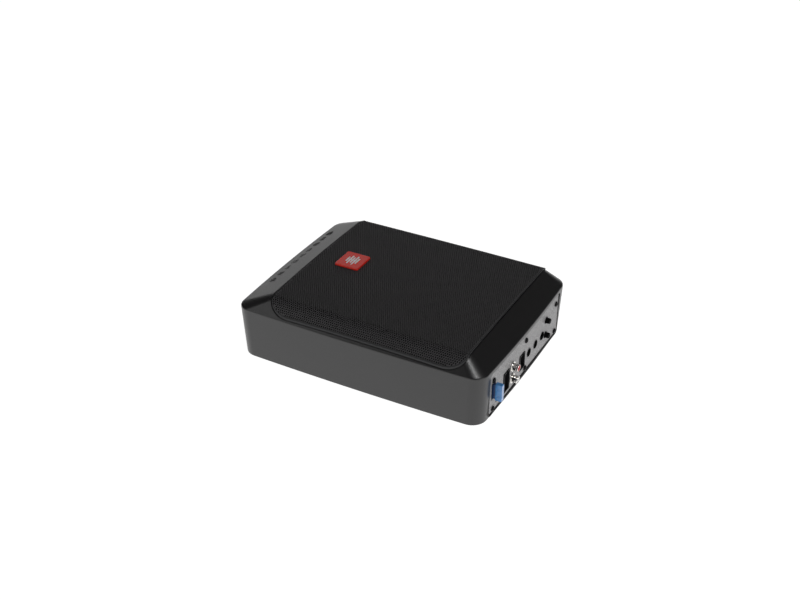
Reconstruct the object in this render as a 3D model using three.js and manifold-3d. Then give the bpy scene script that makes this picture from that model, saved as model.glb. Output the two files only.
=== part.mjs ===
// Powered under-seat car subwoofer: a low plastic housing with a perforated steel grille on top,
// an oval woofer below it, and an amplifier whose sockets and controls sit in a recessed end panel.
// Millimetres, +Z up. +X is the panel end, -Y the front. The origin is the centre of the footprint,
// on the surface that the rubber feet stand on.
import * as THREE from 'three';
import { mergeVertices } from 'three/addons/utils/BufferGeometryUtils.js';
import Module from 'manifold-3d';

const wasm = await Module();
wasm.setup();

// ---------------------------------------------------------------- driving dimensions

const gap = 0.3; // kept between solids that touch on the real object

const housing = {
  length: 300,
  width: 226.7,
  bottom: 1, // the rim stands this far above the ground, on the feet
  wallTop: 61, // where the upright walls turn into the bevels
  top: 78.5, // flat top, level with the grille's own thickness
  draft: 2.4, // how far the bottom rim is inside the wall top
  cornerRadius: 16.8,
  endBow: 1.95,
  sideBow: 1.83,
  wall: 3.6,
  blankEndBevel: 39.2, // plan widths of the four bevels
  panelEndBevel: 23.6,
  sideBevel: 13.9,
  plateRadius: 10,
  plateEndBow: 1.35,
  plateSideBow: 0.6,
  edgeSoftening: 1.5, // chamfer between the walls and the bevels
};

const grille = {
  thickness: 1.2,
  proud: 0.5, // top face above the housing's flat top
  blankEndBow: 3.8,
  hemMargin: 2.9, // plan distance from the front edge of the hem to the wall top
  cornerX: 26,
  cornerY: 12,
};

const badge = { x: -68.5, y: 5.8, width: 29.5, height: 31.5, thickness: 2, radius: 2.5 };
const emblem = {
  depth: 0.8,
  rise: 0.2, // above the badge's face
  barWidth: 1.9,
  barPitch: 3,
  lineHalf: 0.5,
  halfHeights: [5, 8.6, 6.2, 9, 5.6],
};

const pocket = { ledge: 6.6, depth: 15.5, radius: 20, wall: 2.5, floor: 4 };

const woofer = {
  endMargin: 12, // from the pocket's wall to the flange, along X and along Y
  sideMargin: 18,
  flangeWidth: 12,
  flangeThickness: 2,
  sheet: 1.6,
  depth: 35, // from the baffle to the bottom of the basket
  seatRadius: 46,
  throatRadius: 24,
  coneEdge: 23, // from the flange's outer edge to the cone's edge
  coneDepth: 18.6,
  rollRadius: 5,
  coilRadius: 13.4,
  formerWall: 0.8,
  formerLength: 31,
  dustCapRadius: 18,
  dustCapRise: 5,
  coneSheet: 1.2,
  coneRim: 6, // flat band at the cone's edge
  screwInset: 4,
  screwHeadRadius: 3,
  screwHeadThickness: 2,
};

const motor = {
  poleRadius: 12,
  plateRadius: 42,
  plateThickness: 4,
  magnetRadius: 45,
  magnetBore: 22,
  magnetThickness: 11.4,
};

const panel = {
  recess: 3.2, // from the housing's end to the panel's face
  thickness: 3,
  sideMargin: 22.35, // from the housing's long sides to the opening
  floor: 3, // bottom of the opening above the ground
  topMargin: 4, // from the wall top down to the opening
  radius: 4,
  lip: 5, // the ledge that the panel seats on
  frameDepth: 13,
};

const panelScrew = {
  edge: 9, // from the opening's ends to the outer screws
  middleAlong: 91, // the middle pair, measured as the controls are
  lowerZ: 10,
  upperDrop: 11.5, // from the opening's top to the upper row
  headRadius: 3,
  headThickness: 2,
  shankRadius: 1.5,
  length: 14,
  bossRadius: 3.2,
};

// Sockets and controls in the panel: centres measured from the panel's -Y edge, and heights.
const place = {
  fuse: { along: 10.5 }, // its height hangs from the screw above it
  led: { along: 18.5, z: 13 },
  power: { along: 42, z: 23.5 },
  rca: { along: 57, upperZ: 33, lowerZ: 18 },
  speaker: { along: 82.5, z: 23.7 },
  knobs: { along: 101, pitch: 18, z: 24 },
  buttons: { along: 147, lowerZ: 20, upperZ: 39 },
};

const fuse = {
  width: 19.1,
  thickness: 5.1,
  height: 11.1,
  bladeLength: 7,
  bladeWidth: 5,
  bladeSheet: 0.7,
  wall: 2,
};
const holder = { around: 0.6, side: 2.1, depth: 17, sunk: 1.2, belowBoss: 0.35 };
const socket = { wall: 1.3, depth: 14, length: 22, proud: 1 };
const powerSocket = { width: 14, height: 25 };
const speakerSocket = { width: 13.4, height: 19.4 };
const rca = { radius: 4.15, wall: 0.8, bore: 1.7, protrusion: 7.7, blockWidth: 14, blockDepth: 20 };
const knob = { radius: 4, depth: 10, recess: 2.6, slot: 1, shaftRadius: 3, shaftLength: 5 };
const pot = { width: 11, depth: 11.5, height: 20 };
const button = { radius: 3.2, protrusion: 5.2, travel: 2.5, collarRadius: 4.2, collar: 1.5, tail: 5 };
const switchBody = { width: 9, depth: 12, height: 9 };
const led = { radius: 1.4, length: 7, proud: 0.4 };

const board = { top: 10.7, thickness: 1.6, fromMagnet: 9, sideMargin: 15, notch: 10, partInset: 14 };
const capacitor = { radius: 7.5, height: 22, y: [22, 44] };
const choke = { outerRadius: 9, innerRadius: 4.5, height: 9, y: 64 };
const heatSink = { length: 68, depth: 10, height: 24, base: 3, fin: 1.6, fins: 12 };

const base = { thickness: 3, postRadius: 3 };
const foot = { radius: 9, thickness: 2.3, endMargin: 45, sideMargin: 28.35 };
const baseScrew = { headRadius: 3.3, headThickness: 1.1, shankRadius: 1.6, length: 12, postRadius: 4.5 };
const basePosts = { blankEnd: 22, panelEnd: 28, side: 18 }; // from the housing's ends and sides

// ---------------------------------------------------------------- solids

// A closed geometry becomes a solid that can be joined and cut.
function solid(geometry) {
  geometry.deleteAttribute('normal');
  geometry.deleteAttribute('uv');
  const merged = mergeVertices(geometry, 1e-4);
  return new wasm.Manifold(new wasm.Mesh({
    numProp: 3,
    vertProperties: merged.getAttribute('position').array,
    triVerts: Uint32Array.from(merged.index.array),
  }));
}

function box(x0, x1, y0, y1, z0, z1) {
  const geometry = new THREE.BoxGeometry(x1 - x0, y1 - y0, z1 - z0);
  geometry.translate((x0 + x1) / 2, (y0 + y1) / 2, (z0 + z1) / 2);
  return solid(geometry);
}

// An upright round bar.
function post(x, y, radius, z0, z1, segments = 12) {
  const geometry = new THREE.CylinderGeometry(radius, radius, z1 - z0, segments);
  geometry.rotateX(Math.PI / 2);
  geometry.translate(x, y, (z0 + z1) / 2);
  return solid(geometry);
}

// A round bar along X.
function rod(y, z, radius, x0, x1, segments = 12) {
  const geometry = new THREE.CylinderGeometry(radius, radius, x1 - x0, segments);
  geometry.rotateZ(-Math.PI / 2);
  geometry.translate((x0 + x1) / 2, y, z);
  return solid(geometry);
}

// A body of revolution about a vertical axis. The profile is [radius, height] and closes on itself.
function turned(x, y, profile, segments = 24) {
  const loop = [...profile, profile[0]].map(([radius, z]) => new THREE.Vector2(radius, z));
  const geometry = new THREE.LatheGeometry(loop, segments);
  geometry.rotateX(Math.PI / 2);
  geometry.translate(x, y, 0);
  return solid(geometry);
}

// Closed rings of equal length, from the lowest to the highest, skinned and capped.
function loft(rings) {
  const count = rings[0].length;
  const centre = (ring) => ring.reduce((sum, p) => sum.add(p), new THREE.Vector3()).divideScalar(count);
  const points = [...rings.flat(), centre(rings[0]), centre(rings.at(-1))];
  const [bottom, top] = [points.length - 2, points.length - 1];
  const lastRing = (rings.length - 1) * count;
  const index = [];
  for (let i = 0; i < count; i += 1) {
    const next = (i + 1) % count;
    index.push(bottom, next, i, top, lastRing + i, lastRing + next);
    for (let start = 0; start < lastRing; start += count) {
      const [a, b, c, d] = [start + i, start + next, start + count + next, start + count + i];
      index.push(a, b, c, a, c, d);
    }
  }
  const geometry = new THREE.BufferGeometry().setFromPoints(points);
  geometry.setIndex(index);
  return solid(geometry);
}

// A ring round an upright ellipse. The section is a closed loop of [half length, half width, z]
// points, outwards along its underside and back along its top.
function ovalRing(cx, section, segments = 32) {
  const points = [];
  const index = [];
  const count = section.length;
  for (let i = 0; i < segments; i += 1) {
    const angle = (2 * Math.PI * i) / segments;
    for (const [rx, ry, z] of section) {
      points.push(new THREE.Vector3(cx + rx * Math.cos(angle), ry * Math.sin(angle), z));
    }
    const next = (i + 1) % segments;
    for (let s = 0; s < count; s += 1) {
      const t = (s + 1) % count;
      const [a, b, c, d] = [i * count + s, next * count + s, next * count + t, i * count + t];
      index.push(a, b, c, a, c, d);
    }
  }
  const geometry = new THREE.BufferGeometry().setFromPoints(points);
  geometry.setIndex(index);
  return solid(geometry);
}

// An upright elliptical plug.
function ovalPlug(cx, rx, ry, z0, z1, segments = 32) {
  const ring = (z) => Array.from({ length: segments }, (_, i) => {
    const angle = (2 * Math.PI * i) / segments;
    return new THREE.Vector3(cx + rx * Math.cos(angle), ry * Math.sin(angle), z);
  });
  return loft([ring(z0), ring(z1)]);
}

// A closed outline at one height: a rectangle with elliptical corners whose sides bow outwards.
// corner is [x radius, y radius]; bow is [-X end, +X end, both long sides].
function outline({ x0, x1, y0, y1 }, corner, bow, z) {
  const [arcSteps, sideSteps] = [4, 4];
  const [rx, ry] = corner;
  const [lowBow, highBow, sideBow] = bow;
  const left = x0 + lowBow + rx;
  const right = x1 - highBow - rx;
  const near = y0 + sideBow + ry;
  const far = y1 - sideBow - ry;
  const centres = [[right, far], [left, far], [left, near], [right, near]];
  const along = [
    (s) => [THREE.MathUtils.lerp(left, right, (1 + s) / 2), y1 - sideBow * s * s],
    (s) => [x0 + lowBow * s * s, THREE.MathUtils.lerp(near, far, (1 + s) / 2)],
    (s) => [THREE.MathUtils.lerp(right, left, (1 + s) / 2), y0 + sideBow * s * s],
    (s) => [x1 - highBow * s * s, THREE.MathUtils.lerp(far, near, (1 + s) / 2)],
  ];
  const points = [];
  centres.forEach(([cx, cy], quarter) => {
    for (let step = 0; step <= arcSteps; step += 1) {
      const angle = (quarter + step / arcSteps) * (Math.PI / 2);
      points.push(new THREE.Vector3(cx + rx * Math.cos(angle), cy + ry * Math.sin(angle), z));
    }
    for (let step = 1; step < sideSteps; step += 1) {
      const [x, y] = along[quarter](1 - (2 * step) / sideSteps);
      points.push(new THREE.Vector3(x, y, z));
    }
  });
  return points;
}

// A plan outline pulled up into a prism.
function prism(rectangle, radius, z0, z1, bow = [0, 0, 0]) {
  const corner = Array.isArray(radius) ? radius : [radius, radius];
  return loft([outline(rectangle, corner, bow, z0), outline(rectangle, corner, bow, z1)]);
}

// A plate that stands across X, rounded in the Y-Z plane.
function uprightPlate(y0, y1, z0, z1, radius, x0, x1) {
  const turn = new THREE.Matrix4().makeBasis(
    new THREE.Vector3(0, 1, 0),
    new THREE.Vector3(0, 0, 1),
    new THREE.Vector3(1, 0, 0),
  );
  const ring = (x) => outline({ x0: y0, x1: y1, y0: z0, y1: z1 }, [radius, radius], [0, 0, 0], x)
    .map((point) => point.applyMatrix4(turn));
  return loft([ring(x0), ring(x1)]);
}

const grow = ({ x0, x1, y0, y1 }, by) => ({ x0: x0 - by, x1: x1 + by, y0: y0 - by, y1: y1 + by });
const union = (solids) => solids.reduce((all, one) => all.add(one));

// ---------------------------------------------------------------- the housing's form

const endX = housing.length / 2;
const sideY = housing.width / 2;
const wallTopRectangle = { x0: -endX, x1: endX, y0: -sideY, y1: sideY };
const plateRectangle = {
  x0: -endX + housing.blankEndBevel,
  x1: endX - housing.panelEndBevel,
  y0: -sideY + housing.sideBevel,
  y1: sideY - housing.sideBevel,
};
const bevelDrop = housing.top - housing.wallTop;

// How far an edge at the top of a bevel moves inwards when the whole skin moves in by one.
const mitre = (run, drop) => (Math.hypot(run, drop) - run) / drop;

// The housing's outer form, or the same form with its skin moved in by inset.
function form(inset = 0) {
  const { draft, cornerRadius, endBow, sideBow, plateRadius, plateEndBow, plateSideBow } = housing;
  const wallZ = housing.wallTop - inset * mitre(bevelDrop, housing.sideBevel);
  const bottomZ = housing.bottom - (inset > 0 ? 1 : 0); // an inner form runs out through the bottom
  const radius = cornerRadius - inset;
  const wallOutline = (by, z) => outline(
    grow(wallTopRectangle, -by - inset),
    [radius, radius],
    [endBow, endBow, sideBow],
    z,
  );
  const plate = {
    x0: plateRectangle.x0 + inset * mitre(housing.blankEndBevel, bevelDrop),
    x1: plateRectangle.x1 - inset * mitre(housing.panelEndBevel, bevelDrop),
    y0: plateRectangle.y0 + inset * mitre(housing.sideBevel, bevelDrop),
    y1: plateRectangle.y1 - inset * mitre(housing.sideBevel, bevelDrop),
  };
  const plateRing = outline(
    plate,
    [plateRadius, plateRadius],
    [plateEndBow, plateEndBow, plateSideBow],
    housing.top - inset,
  );
  const wallTopRing = wallOutline(0, wallZ);
  const softening = housing.edgeSoftening / bevelDrop;
  const bevelStart = wallTopRing.map((point, i) => point.clone().lerp(plateRing[i], softening));
  return loft([
    wallOutline(draft, bottomZ),
    wallOutline(0, wallZ - housing.edgeSoftening),
    bevelStart,
    plateRing,
  ]);
}

const aboveAll = housing.top + 10;
const pocketRectangle = grow(plateRectangle, -pocket.ledge);
const baffleTop = housing.top - pocket.depth;
const grilleRectangle = {
  x0: plateRectangle.x0,
  x1: plateRectangle.x1 - 1,
  y0: -sideY + grille.hemMargin,
  y1: sideY - grille.hemMargin,
};
const grilleCorner = [grille.cornerX, grille.cornerY];
const grilleBow = [grille.blankEndBow, 0, 0];

// ---------------------------------------------------------------- woofer and panel positions

const wooferX = (pocketRectangle.x0 + pocketRectangle.x1) / 2;
const flangeX = (pocketRectangle.x1 - pocketRectangle.x0) / 2 - woofer.endMargin;
const flangeY = pocketRectangle.y1 - woofer.sideMargin;
const flangeBottom = baffleTop + gap;
const flangeTop = flangeBottom + woofer.flangeThickness;
const basketBottom = flangeBottom - woofer.depth;
const holeX = flangeX - woofer.flangeWidth + woofer.sheet + 1.4;
const holeY = flangeY - woofer.flangeWidth + woofer.sheet + 1.4;
const wooferScrews = [45, 135, 225, 315].map((degrees) => {
  const angle = THREE.MathUtils.degToRad(degrees);
  return {
    x: wooferX + (flangeX - woofer.screwInset) * Math.cos(angle),
    y: (flangeY - woofer.screwInset) * Math.sin(angle),
  };
});

const panelFace = endX - panel.recess;
const panelBack = panelFace - panel.thickness;
const openingY = sideY - panel.sideMargin;
const openingTop = housing.wallTop - panel.topMargin;
const frameBack = endX - panel.frameDepth;
const panelY = (along) => -openingY + along;
const middleScrewY = panelY(panelScrew.middleAlong);
const upperScrewZ = openingTop - panelScrew.upperDrop;
const panelScrews = [panelScrew.edge - openingY, middleScrewY, openingY - panelScrew.edge]
  .flatMap((y) => [panelScrew.lowerZ, upperScrewZ].map((z) => ({ y, z })));

const knobCentres = [0, 1, 2].map((i) => panelY(place.knobs.along + i * place.knobs.pitch));
const buttonY = panelY(place.buttons.along);
const baseScrews = [
  { x: -endX + basePosts.blankEnd, y: -sideY + basePosts.side },
  { x: -endX + basePosts.blankEnd, y: sideY - basePosts.side },
  { x: endX - basePosts.panelEnd, y: -sideY + basePosts.side },
  { x: endX - basePosts.panelEnd, y: sideY - basePosts.side },
];
const [footX, footY] = [endX - foot.endMargin, sideY - foot.sideMargin];
const feet = [[-1, -1], [1, -1], [1, 1], [-1, 1]].map(([sx, sy]) => ({ x: sx * footX, y: sy * footY }));
const baseBottom = housing.bottom + gap;
const baseTop = baseBottom + base.thickness;

// ---------------------------------------------------------------- the group and its materials

const group = new THREE.Group();
group.name = 'powered_car_subwoofer';

function finish(color, roughness, metalness = 0, opacity = 1) {
  return { color, roughness, metalness, opacity, transparent: opacity < 1 };
}

const finishes = {
  housing: finish(0x2f2e2f, 0.55),
  grille: finish(0x1b1a1b, 0.5, 0.6),
  badge: finish(0xc62a22, 0.35),
  white: finish(0xeeeeee, 0.4),
  panel: finish(0x9a9a9c, 0.55, 0.5),
  black: finish(0x111112, 0.45),
  steel: finish(0x8b8d90, 0.35, 1),
  darkSteel: finish(0x18181a, 0.4, 0.8),
  nickel: finish(0xc9cbce, 0.2, 1),
  red: finish(0xb81e1a, 0.4),
  fuse: finish(0x2f6fd0, 0.2, 0, 0.8),
  rubber: finish(0x1a1a1a, 0.9),
  board: finish(0x1d5a35, 0.5),
  aluminium: finish(0xb4b6b8, 0.4, 1),
  copper: finish(0xb06a35, 0.35, 1),
  paper: finish(0x242322, 0.8),
  ferrite: finish(0x2a2a2c, 0.7),
  light: finish(0x3060ff, 0.3),
};

function addPart(name, shape, look) {
  const { numProp, vertProperties, triVerts } = shape.getMesh();
  if (numProp !== 3) throw new Error(`${name} carries more than positions`);
  const geometry = new THREE.BufferGeometry();
  geometry.setAttribute('position', new THREE.BufferAttribute(vertProperties, 3));
  geometry.setIndex(new THREE.BufferAttribute(triVerts, 1));
  geometry.computeVertexNormals();
  const mesh = new THREE.Mesh(geometry, new THREE.MeshStandardMaterial(finishes[look]));
  mesh.name = name;
  group.add(mesh);
}

// A pan-head screw along X with its head outside.
function screwAlongX(y, z, underHead, { headRadius, headThickness, shankRadius, length }) {
  return rod(y, z, headRadius, underHead, underHead + headThickness)
    .add(rod(y, z, shankRadius, underHead - length, underHead + 1, 12));
}

// ---------------------------------------------------------------- casing

// Recess in the top that the grille drops into, following the flat and the two long bevels.
function grilleSeat() {
  const depth = grille.thickness - grille.proud + gap;
  const above = prism(grow(grilleRectangle, gap), grilleCorner, housing.wallTop, aboveAll, grilleBow);
  return above.subtract(form(depth));
}

function enclosureShell() {
  const pocketOuter = prism(
    grow(pocketRectangle, pocket.wall),
    pocket.radius + pocket.wall,
    baffleTop - pocket.floor,
    aboveAll,
  );
  const endFrame = box(frameBack, endX, -openingY - panel.lip, openingY + panel.lip, 0, housing.wallTop);
  const cavity = form(housing.wall).subtract(pocketOuter).subtract(endFrame);
  const screwPosts = baseScrews.map(({ x, y }) => (
    post(x, y, baseScrew.postRadius, baseTop + gap, aboveAll).intersect(form(housing.wall / 2))
  ));
  const seatX = panelBack - gap;
  const opening = uprightPlate(-openingY, openingY, panel.floor, openingTop, panel.radius, seatX, endX + 5);
  const inner = uprightPlate(
    -openingY + panel.lip,
    openingY - panel.lip,
    panel.floor + panel.lip,
    openingTop - panel.lip,
    panel.radius,
    frameBack - 1,
    seatX + 1,
  );
  const bosses = panelScrews.map(({ y, z }) => {
    const nearEdge = z < panelScrew.lowerZ + 1 ? panel.floor : openingTop;
    const web = box(frameBack, seatX, y - 2, y + 2, Math.min(z, nearEdge), Math.max(z, nearEdge));
    return rod(y, z, panelScrew.bossRadius, frameBack - 5, seatX).add(web);
  });
  const pilots = panelScrews.map(({ y, z }) => (
    rod(y, z, panelScrew.shankRadius + gap, frameBack - 6, endX, 12)
  ));
  const basePilots = baseScrews.map(({ x, y }) => (
    post(x, y, baseScrew.shankRadius + gap, 0, baseTop + baseScrew.length + 2, 12)
  ));
  const wooferPilots = wooferScrews.map(({ x, y }) => (
    post(x, y, baseScrew.shankRadius + gap, baffleTop - pocket.floor - 1, baffleTop + 1, 12)
  ));
  return form()
    .subtract(cavity)
    .add(union(screwPosts))
    .subtract(grilleSeat())
    .subtract(prism(pocketRectangle, pocket.radius, baffleTop, aboveAll))
    .subtract(ovalPlug(wooferX, holeX, holeY, baffleTop - pocket.floor - 1, baffleTop + 1))
    .subtract(opening)
    .subtract(inner)
    .add(union(bosses))
    .subtract(union([...pilots, ...basePilots, ...wooferPilots]));
}

function basePlate() {
  const inset = housing.draft + housing.wall + gap;
  const radius = housing.cornerRadius - housing.wall - gap;
  const bow = [housing.endBow, housing.endBow, housing.sideBow];
  const plate = prism(grow(wallTopRectangle, -inset), radius, baseBottom, baseTop, bow);
  const frameY = openingY + panel.lip + gap;
  const boardPosts = [-1, 1].flatMap((side) => [boardX0 + 6, boardX1 - 12].map((x) => (
    post(x, side * (boardY - 6), base.postRadius, baseTop - 1, board.top - board.thickness - gap, 12)
  )));
  const screwHoles = baseScrews.flatMap(({ x, y }) => [
    post(x, y, baseScrew.shankRadius + gap, 0, baseTop + 1, 12),
    post(x, y, baseScrew.headRadius + gap, 0, baseBottom + baseScrew.headThickness + 2 * gap, 16),
  ]);
  const footSeats = feet.map(({ x, y }) => post(x, y, foot.radius + gap, 0, foot.thickness + gap, 24));
  return plate
    .subtract(box(frameBack - gap, endX, -frameY, frameY, 0, baseTop + 1))
    .add(union(boardPosts))
    .subtract(union([...screwHoles, ...footSeats]));
}

function grilleSheet() {
  const outside = prism(grilleRectangle, grilleCorner, housing.wallTop, aboveAll, grilleBow);
  const sheet = form(-grille.proud).subtract(form(grille.thickness - grille.proud));
  return sheet.intersect(outside);
}

const badgeBottom = housing.top + grille.proud + gap;
const badgeTop = badgeBottom + badge.thickness;

// A row of bars of different heights on one thin line: a plain sound-level mark.
function levelMark(margin, z0, z1) {
  const { barWidth, barPitch, halfHeights, lineHalf } = emblem;
  const middle = (halfHeights.length - 1) / 2;
  const reach = barWidth / 2 + margin;
  const line = lineHalf + margin;
  const upper = halfHeights.flatMap((half, i) => {
    const x = (i - middle) * barPitch;
    return [[x - reach, line], [x - reach, half + margin], [x + reach, half + margin], [x + reach, line]];
  });
  upper.shift(); // the end bars run straight down to their mirror images
  upper.pop();
  const lower = upper.map(([x, y]) => [x, -y]).reverse();
  const mark = new THREE.Shape([...upper, ...lower].map(([x, y]) => new THREE.Vector2(x, y)));
  const geometry = new THREE.ExtrudeGeometry(mark, { depth: z1 - z0, bevelEnabled: false });
  geometry.translate(badge.x, badge.y, z0);
  return solid(geometry);
}

function badgePlate() {
  const [halfX, halfY] = [badge.width / 2, badge.height / 2];
  const rectangle = {
    x0: badge.x - halfX,
    x1: badge.x + halfX,
    y0: badge.y - halfY,
    y1: badge.y + halfY,
  };
  return prism(rectangle, badge.radius, badgeBottom, badgeTop)
    .subtract(levelMark(gap, badgeTop - emblem.depth - gap, badgeTop + 1));
}

function footPad({ x, y }) {
  return post(x, y, foot.radius, 0, foot.thickness, 24);
}

function baseScrewAt({ x, y }) {
  const headBottom = baseBottom + gap;
  const headTop = headBottom + baseScrew.headThickness;
  return post(x, y, baseScrew.headRadius, headBottom, headTop)
    .add(post(x, y, baseScrew.shankRadius, headBottom + 0.5, baseTop + baseScrew.length, 12));
}

// ---------------------------------------------------------------- woofer

function wooferBasket() {
  const throat = woofer.throatRadius;
  const seat = woofer.seatRadius;
  const { sheet } = woofer;
  const [wallX, wallY] = [flangeX - woofer.flangeWidth, flangeY - woofer.flangeWidth];
  const section = [
    [throat, throat, basketBottom],
    [seat, seat, basketBottom],
    [wallX + sheet, wallY + sheet, flangeBottom],
    [flangeX, flangeY, flangeBottom],
    [flangeX, flangeY, flangeTop],
    [wallX, wallY, flangeTop],
    [seat - sheet, seat - sheet, basketBottom + 2],
    [throat, throat, basketBottom + 2],
  ];
  const [low, high] = [basketBottom + 8, flangeBottom - 7];
  const windows = [
    box(wooferX - flangeX, wooferX + flangeX, -15, 15, low, high),
    box(wooferX - 20, wooferX + 20, -flangeY, flangeY, low, high),
  ];
  const holes = wooferScrews.map(({ x, y }) => (
    post(x, y, baseScrew.shankRadius + gap, flangeBottom - 1, flangeTop + 1, 12)
  ));
  return ovalRing(wooferX, section).subtract(union([...windows, ...holes]));
}

const frontPlateTop = basketBottom - gap;
const magnetTop = frontPlateTop - motor.plateThickness - gap;
const backPlateTop = magnetTop - motor.magnetThickness - gap;
const coilGapRadius = woofer.coilRadius + 0.8;

function flatRing(inner, outer, z0, z1) {
  return turned(wooferX, 0, [[inner, z0], [outer, z0], [outer, z1], [inner, z1]]);
}

function backPlateAndPole() {
  return post(wooferX, 0, motor.plateRadius, backPlateTop - motor.plateThickness, backPlateTop, 24)
    .add(post(wooferX, 0, motor.poleRadius, backPlateTop - 1, frontPlateTop, 24));
}

const coneEdgeX = flangeX - woofer.coneEdge;
const coneEdgeY = flangeY - woofer.coneEdge;
const coneTop = flangeTop + gap;
const neckRadius = woofer.coilRadius + gap;
const neckZ = coneTop - woofer.coneDepth;
const formerBottom = neckZ + 3 - woofer.formerLength;

function cone() {
  const sheet = woofer.coneSheet;
  return ovalRing(wooferX, [
    [neckRadius, neckRadius, neckZ],
    [coneEdgeX - 5, coneEdgeY - 5, coneTop - sheet],
    [coneEdgeX, coneEdgeY, coneTop - sheet],
    [coneEdgeX, coneEdgeY, coneTop],
    [coneEdgeX - woofer.coneRim, coneEdgeY - woofer.coneRim, coneTop],
    [neckRadius, neckRadius, neckZ + sheet],
  ]);
}

// Half-roll rubber ring between the cone's edge and the flange.
function surround() {
  const sheet = 0.8;
  const footZ = coneTop + gap;
  const centre = 6; // from the cone's edge to the middle of the roll
  const arc = (radius) => Array.from({ length: 5 }, (_, i) => {
    const angle = (Math.PI * i) / 4;
    const reach = centre + radius * Math.cos(angle);
    return [coneEdgeX + reach, coneEdgeY + reach, footZ + radius * Math.sin(angle)];
  });
  const inner = arc(woofer.rollRadius - sheet).reverse();
  const outer = arc(woofer.rollRadius);
  const outerFoot = centre + woofer.rollRadius + 3;
  return ovalRing(wooferX, [
    [coneEdgeX - 4, coneEdgeY - 4, footZ],
    ...inner,
    [coneEdgeX + outerFoot, coneEdgeY + outerFoot, footZ],
    [coneEdgeX + outerFoot, coneEdgeY + outerFoot, footZ + sheet],
    ...outer.map(([x, y, z]) => [x, y, Math.max(z, footZ + sheet)]),
    [coneEdgeX - 4, coneEdgeY - 4, footZ + sheet],
  ]);
}

function dustCap() {
  const { dustCapRadius: radius, dustCapRise: rise } = woofer;
  const shortReach = Math.min(coneEdgeX, coneEdgeY) - woofer.coneRim - neckRadius;
  const steepest = (woofer.coneDepth - woofer.coneSheet) / shortReach;
  const edgeZ = neckZ + woofer.coneSheet + steepest * (radius - neckRadius) + gap;
  const dome = (lift, reach) => Array.from({ length: 5 }, (_, i) => {
    const share = i / 4;
    return [reach * share, edgeZ + lift + rise * (1 - share * share)];
  });
  return turned(wooferX, 0, [...dome(0, radius), ...dome(1, radius).reverse()], 24);
}

// Cupped cloth ring that centres the voice coil.
function spider() {
  const sheet = 0.8;
  const footZ = basketBottom + 2 + gap;
  const outer = woofer.seatRadius - 4;
  const lift = 6;
  return turned(wooferX, 0, [
    [outer, footZ],
    [outer, footZ + sheet],
    [outer - 7, footZ + sheet],
    [outer - 12, footZ + lift + sheet],
    [neckRadius, footZ + lift + sheet],
    [neckRadius, footZ + lift],
    [outer - 11, footZ + lift],
    [outer - 6.5, footZ],
  ], 24);
}

function wooferScrew({ x, y }) {
  const underHead = flangeTop + gap;
  return post(x, y, woofer.screwHeadRadius, underHead, underHead + woofer.screwHeadThickness)
    .add(post(x, y, baseScrew.shankRadius, baffleTop - pocket.floor, flangeTop + 1, 12));
}

// ---------------------------------------------------------------- control panel

const panelScrewHole = panelScrew.shankRadius + gap;
const socketFace = panelFace + socket.proud;
const holderFace = panelFace - holder.sunk;
const fuseY = panelY(place.fuse.along);
const halfHolderY = fuse.thickness / 2 + holder.side;
const halfHolderZ = fuse.width / 2 + holder.around;
const fuseZ = upperScrewZ - panelScrew.bossRadius - holder.belowBoss - halfHolderZ;

function upright(y, z, halfY, halfZ, x0, x1) {
  return box(x0, x1, y - halfY, y + halfY, z - halfZ, z + halfZ);
}

function controlPanel() {
  const plate = uprightPlate(
    -openingY + gap,
    openingY - gap,
    panel.floor + gap,
    openingTop - gap,
    panel.radius - gap,
    panelBack,
    panelFace,
  );
  const through = [panelBack - 1, panelFace + 1];
  const hole = (y, z, radius, segments = 20) => rod(y, z, radius + gap, ...through, segments);
  const window = (y, z, width, height) => upright(y, z, width / 2 + gap, height / 2 + gap, ...through);
  return plate.subtract(union([
    ...panelScrews.map(({ y, z }) => rod(y, z, panelScrewHole, ...through, 12)),
    ...knobCentres.map((y) => hole(y, place.knobs.z, knob.radius)),
    hole(buttonY, place.buttons.lowerZ, button.radius),
    hole(buttonY, place.buttons.upperZ, button.radius),
    hole(panelY(place.led.along), place.led.z, led.radius, 12),
    hole(panelY(place.rca.along), place.rca.upperZ, rca.radius),
    hole(panelY(place.rca.along), place.rca.lowerZ, rca.radius),
    window(panelY(place.power.along), place.power.z, powerSocket.width, powerSocket.height),
    window(panelY(place.speaker.along), place.speaker.z, speakerSocket.width, speakerSocket.height),
    window(fuseY, fuseZ, 2 * halfHolderY, 2 * halfHolderZ),
  ]));
}

// A moulded socket, open at its face.
function openSocket({ along, z }, { width, height }) {
  const y = panelY(along);
  const body = upright(y, z, width / 2, height / 2, socketFace - socket.length, socketFace);
  const mouth = upright(
    y,
    z,
    width / 2 - socket.wall,
    height / 2 - socket.wall,
    socketFace - socket.depth,
    socketFace + 1,
  );
  return body.subtract(mouth);
}

function fuseHolder() {
  const slot = fuse.bladeSheet / 2 + gap;
  return upright(fuseY, fuseZ, halfHolderY, halfHolderZ, holderFace - holder.depth, holderFace)
    .subtract(upright(
      fuseY,
      fuseZ,
      slot,
      fuse.width / 2 - 0.6,
      holderFace - fuse.bladeLength - 1,
      holderFace + 1,
    ));
}

const fuseBack = holderFace + gap;
const fuseFront = fuseBack + fuse.height;

function fuseBody() {
  const slot = fuse.bladeSheet / 2 + gap;
  return upright(fuseY, fuseZ, fuse.thickness / 2, fuse.width / 2, fuseBack, fuseFront)
    .subtract(upright(fuseY, fuseZ, slot, fuse.width / 2 - 0.9, fuseBack - 1, fuseFront - fuse.wall));
}

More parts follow.
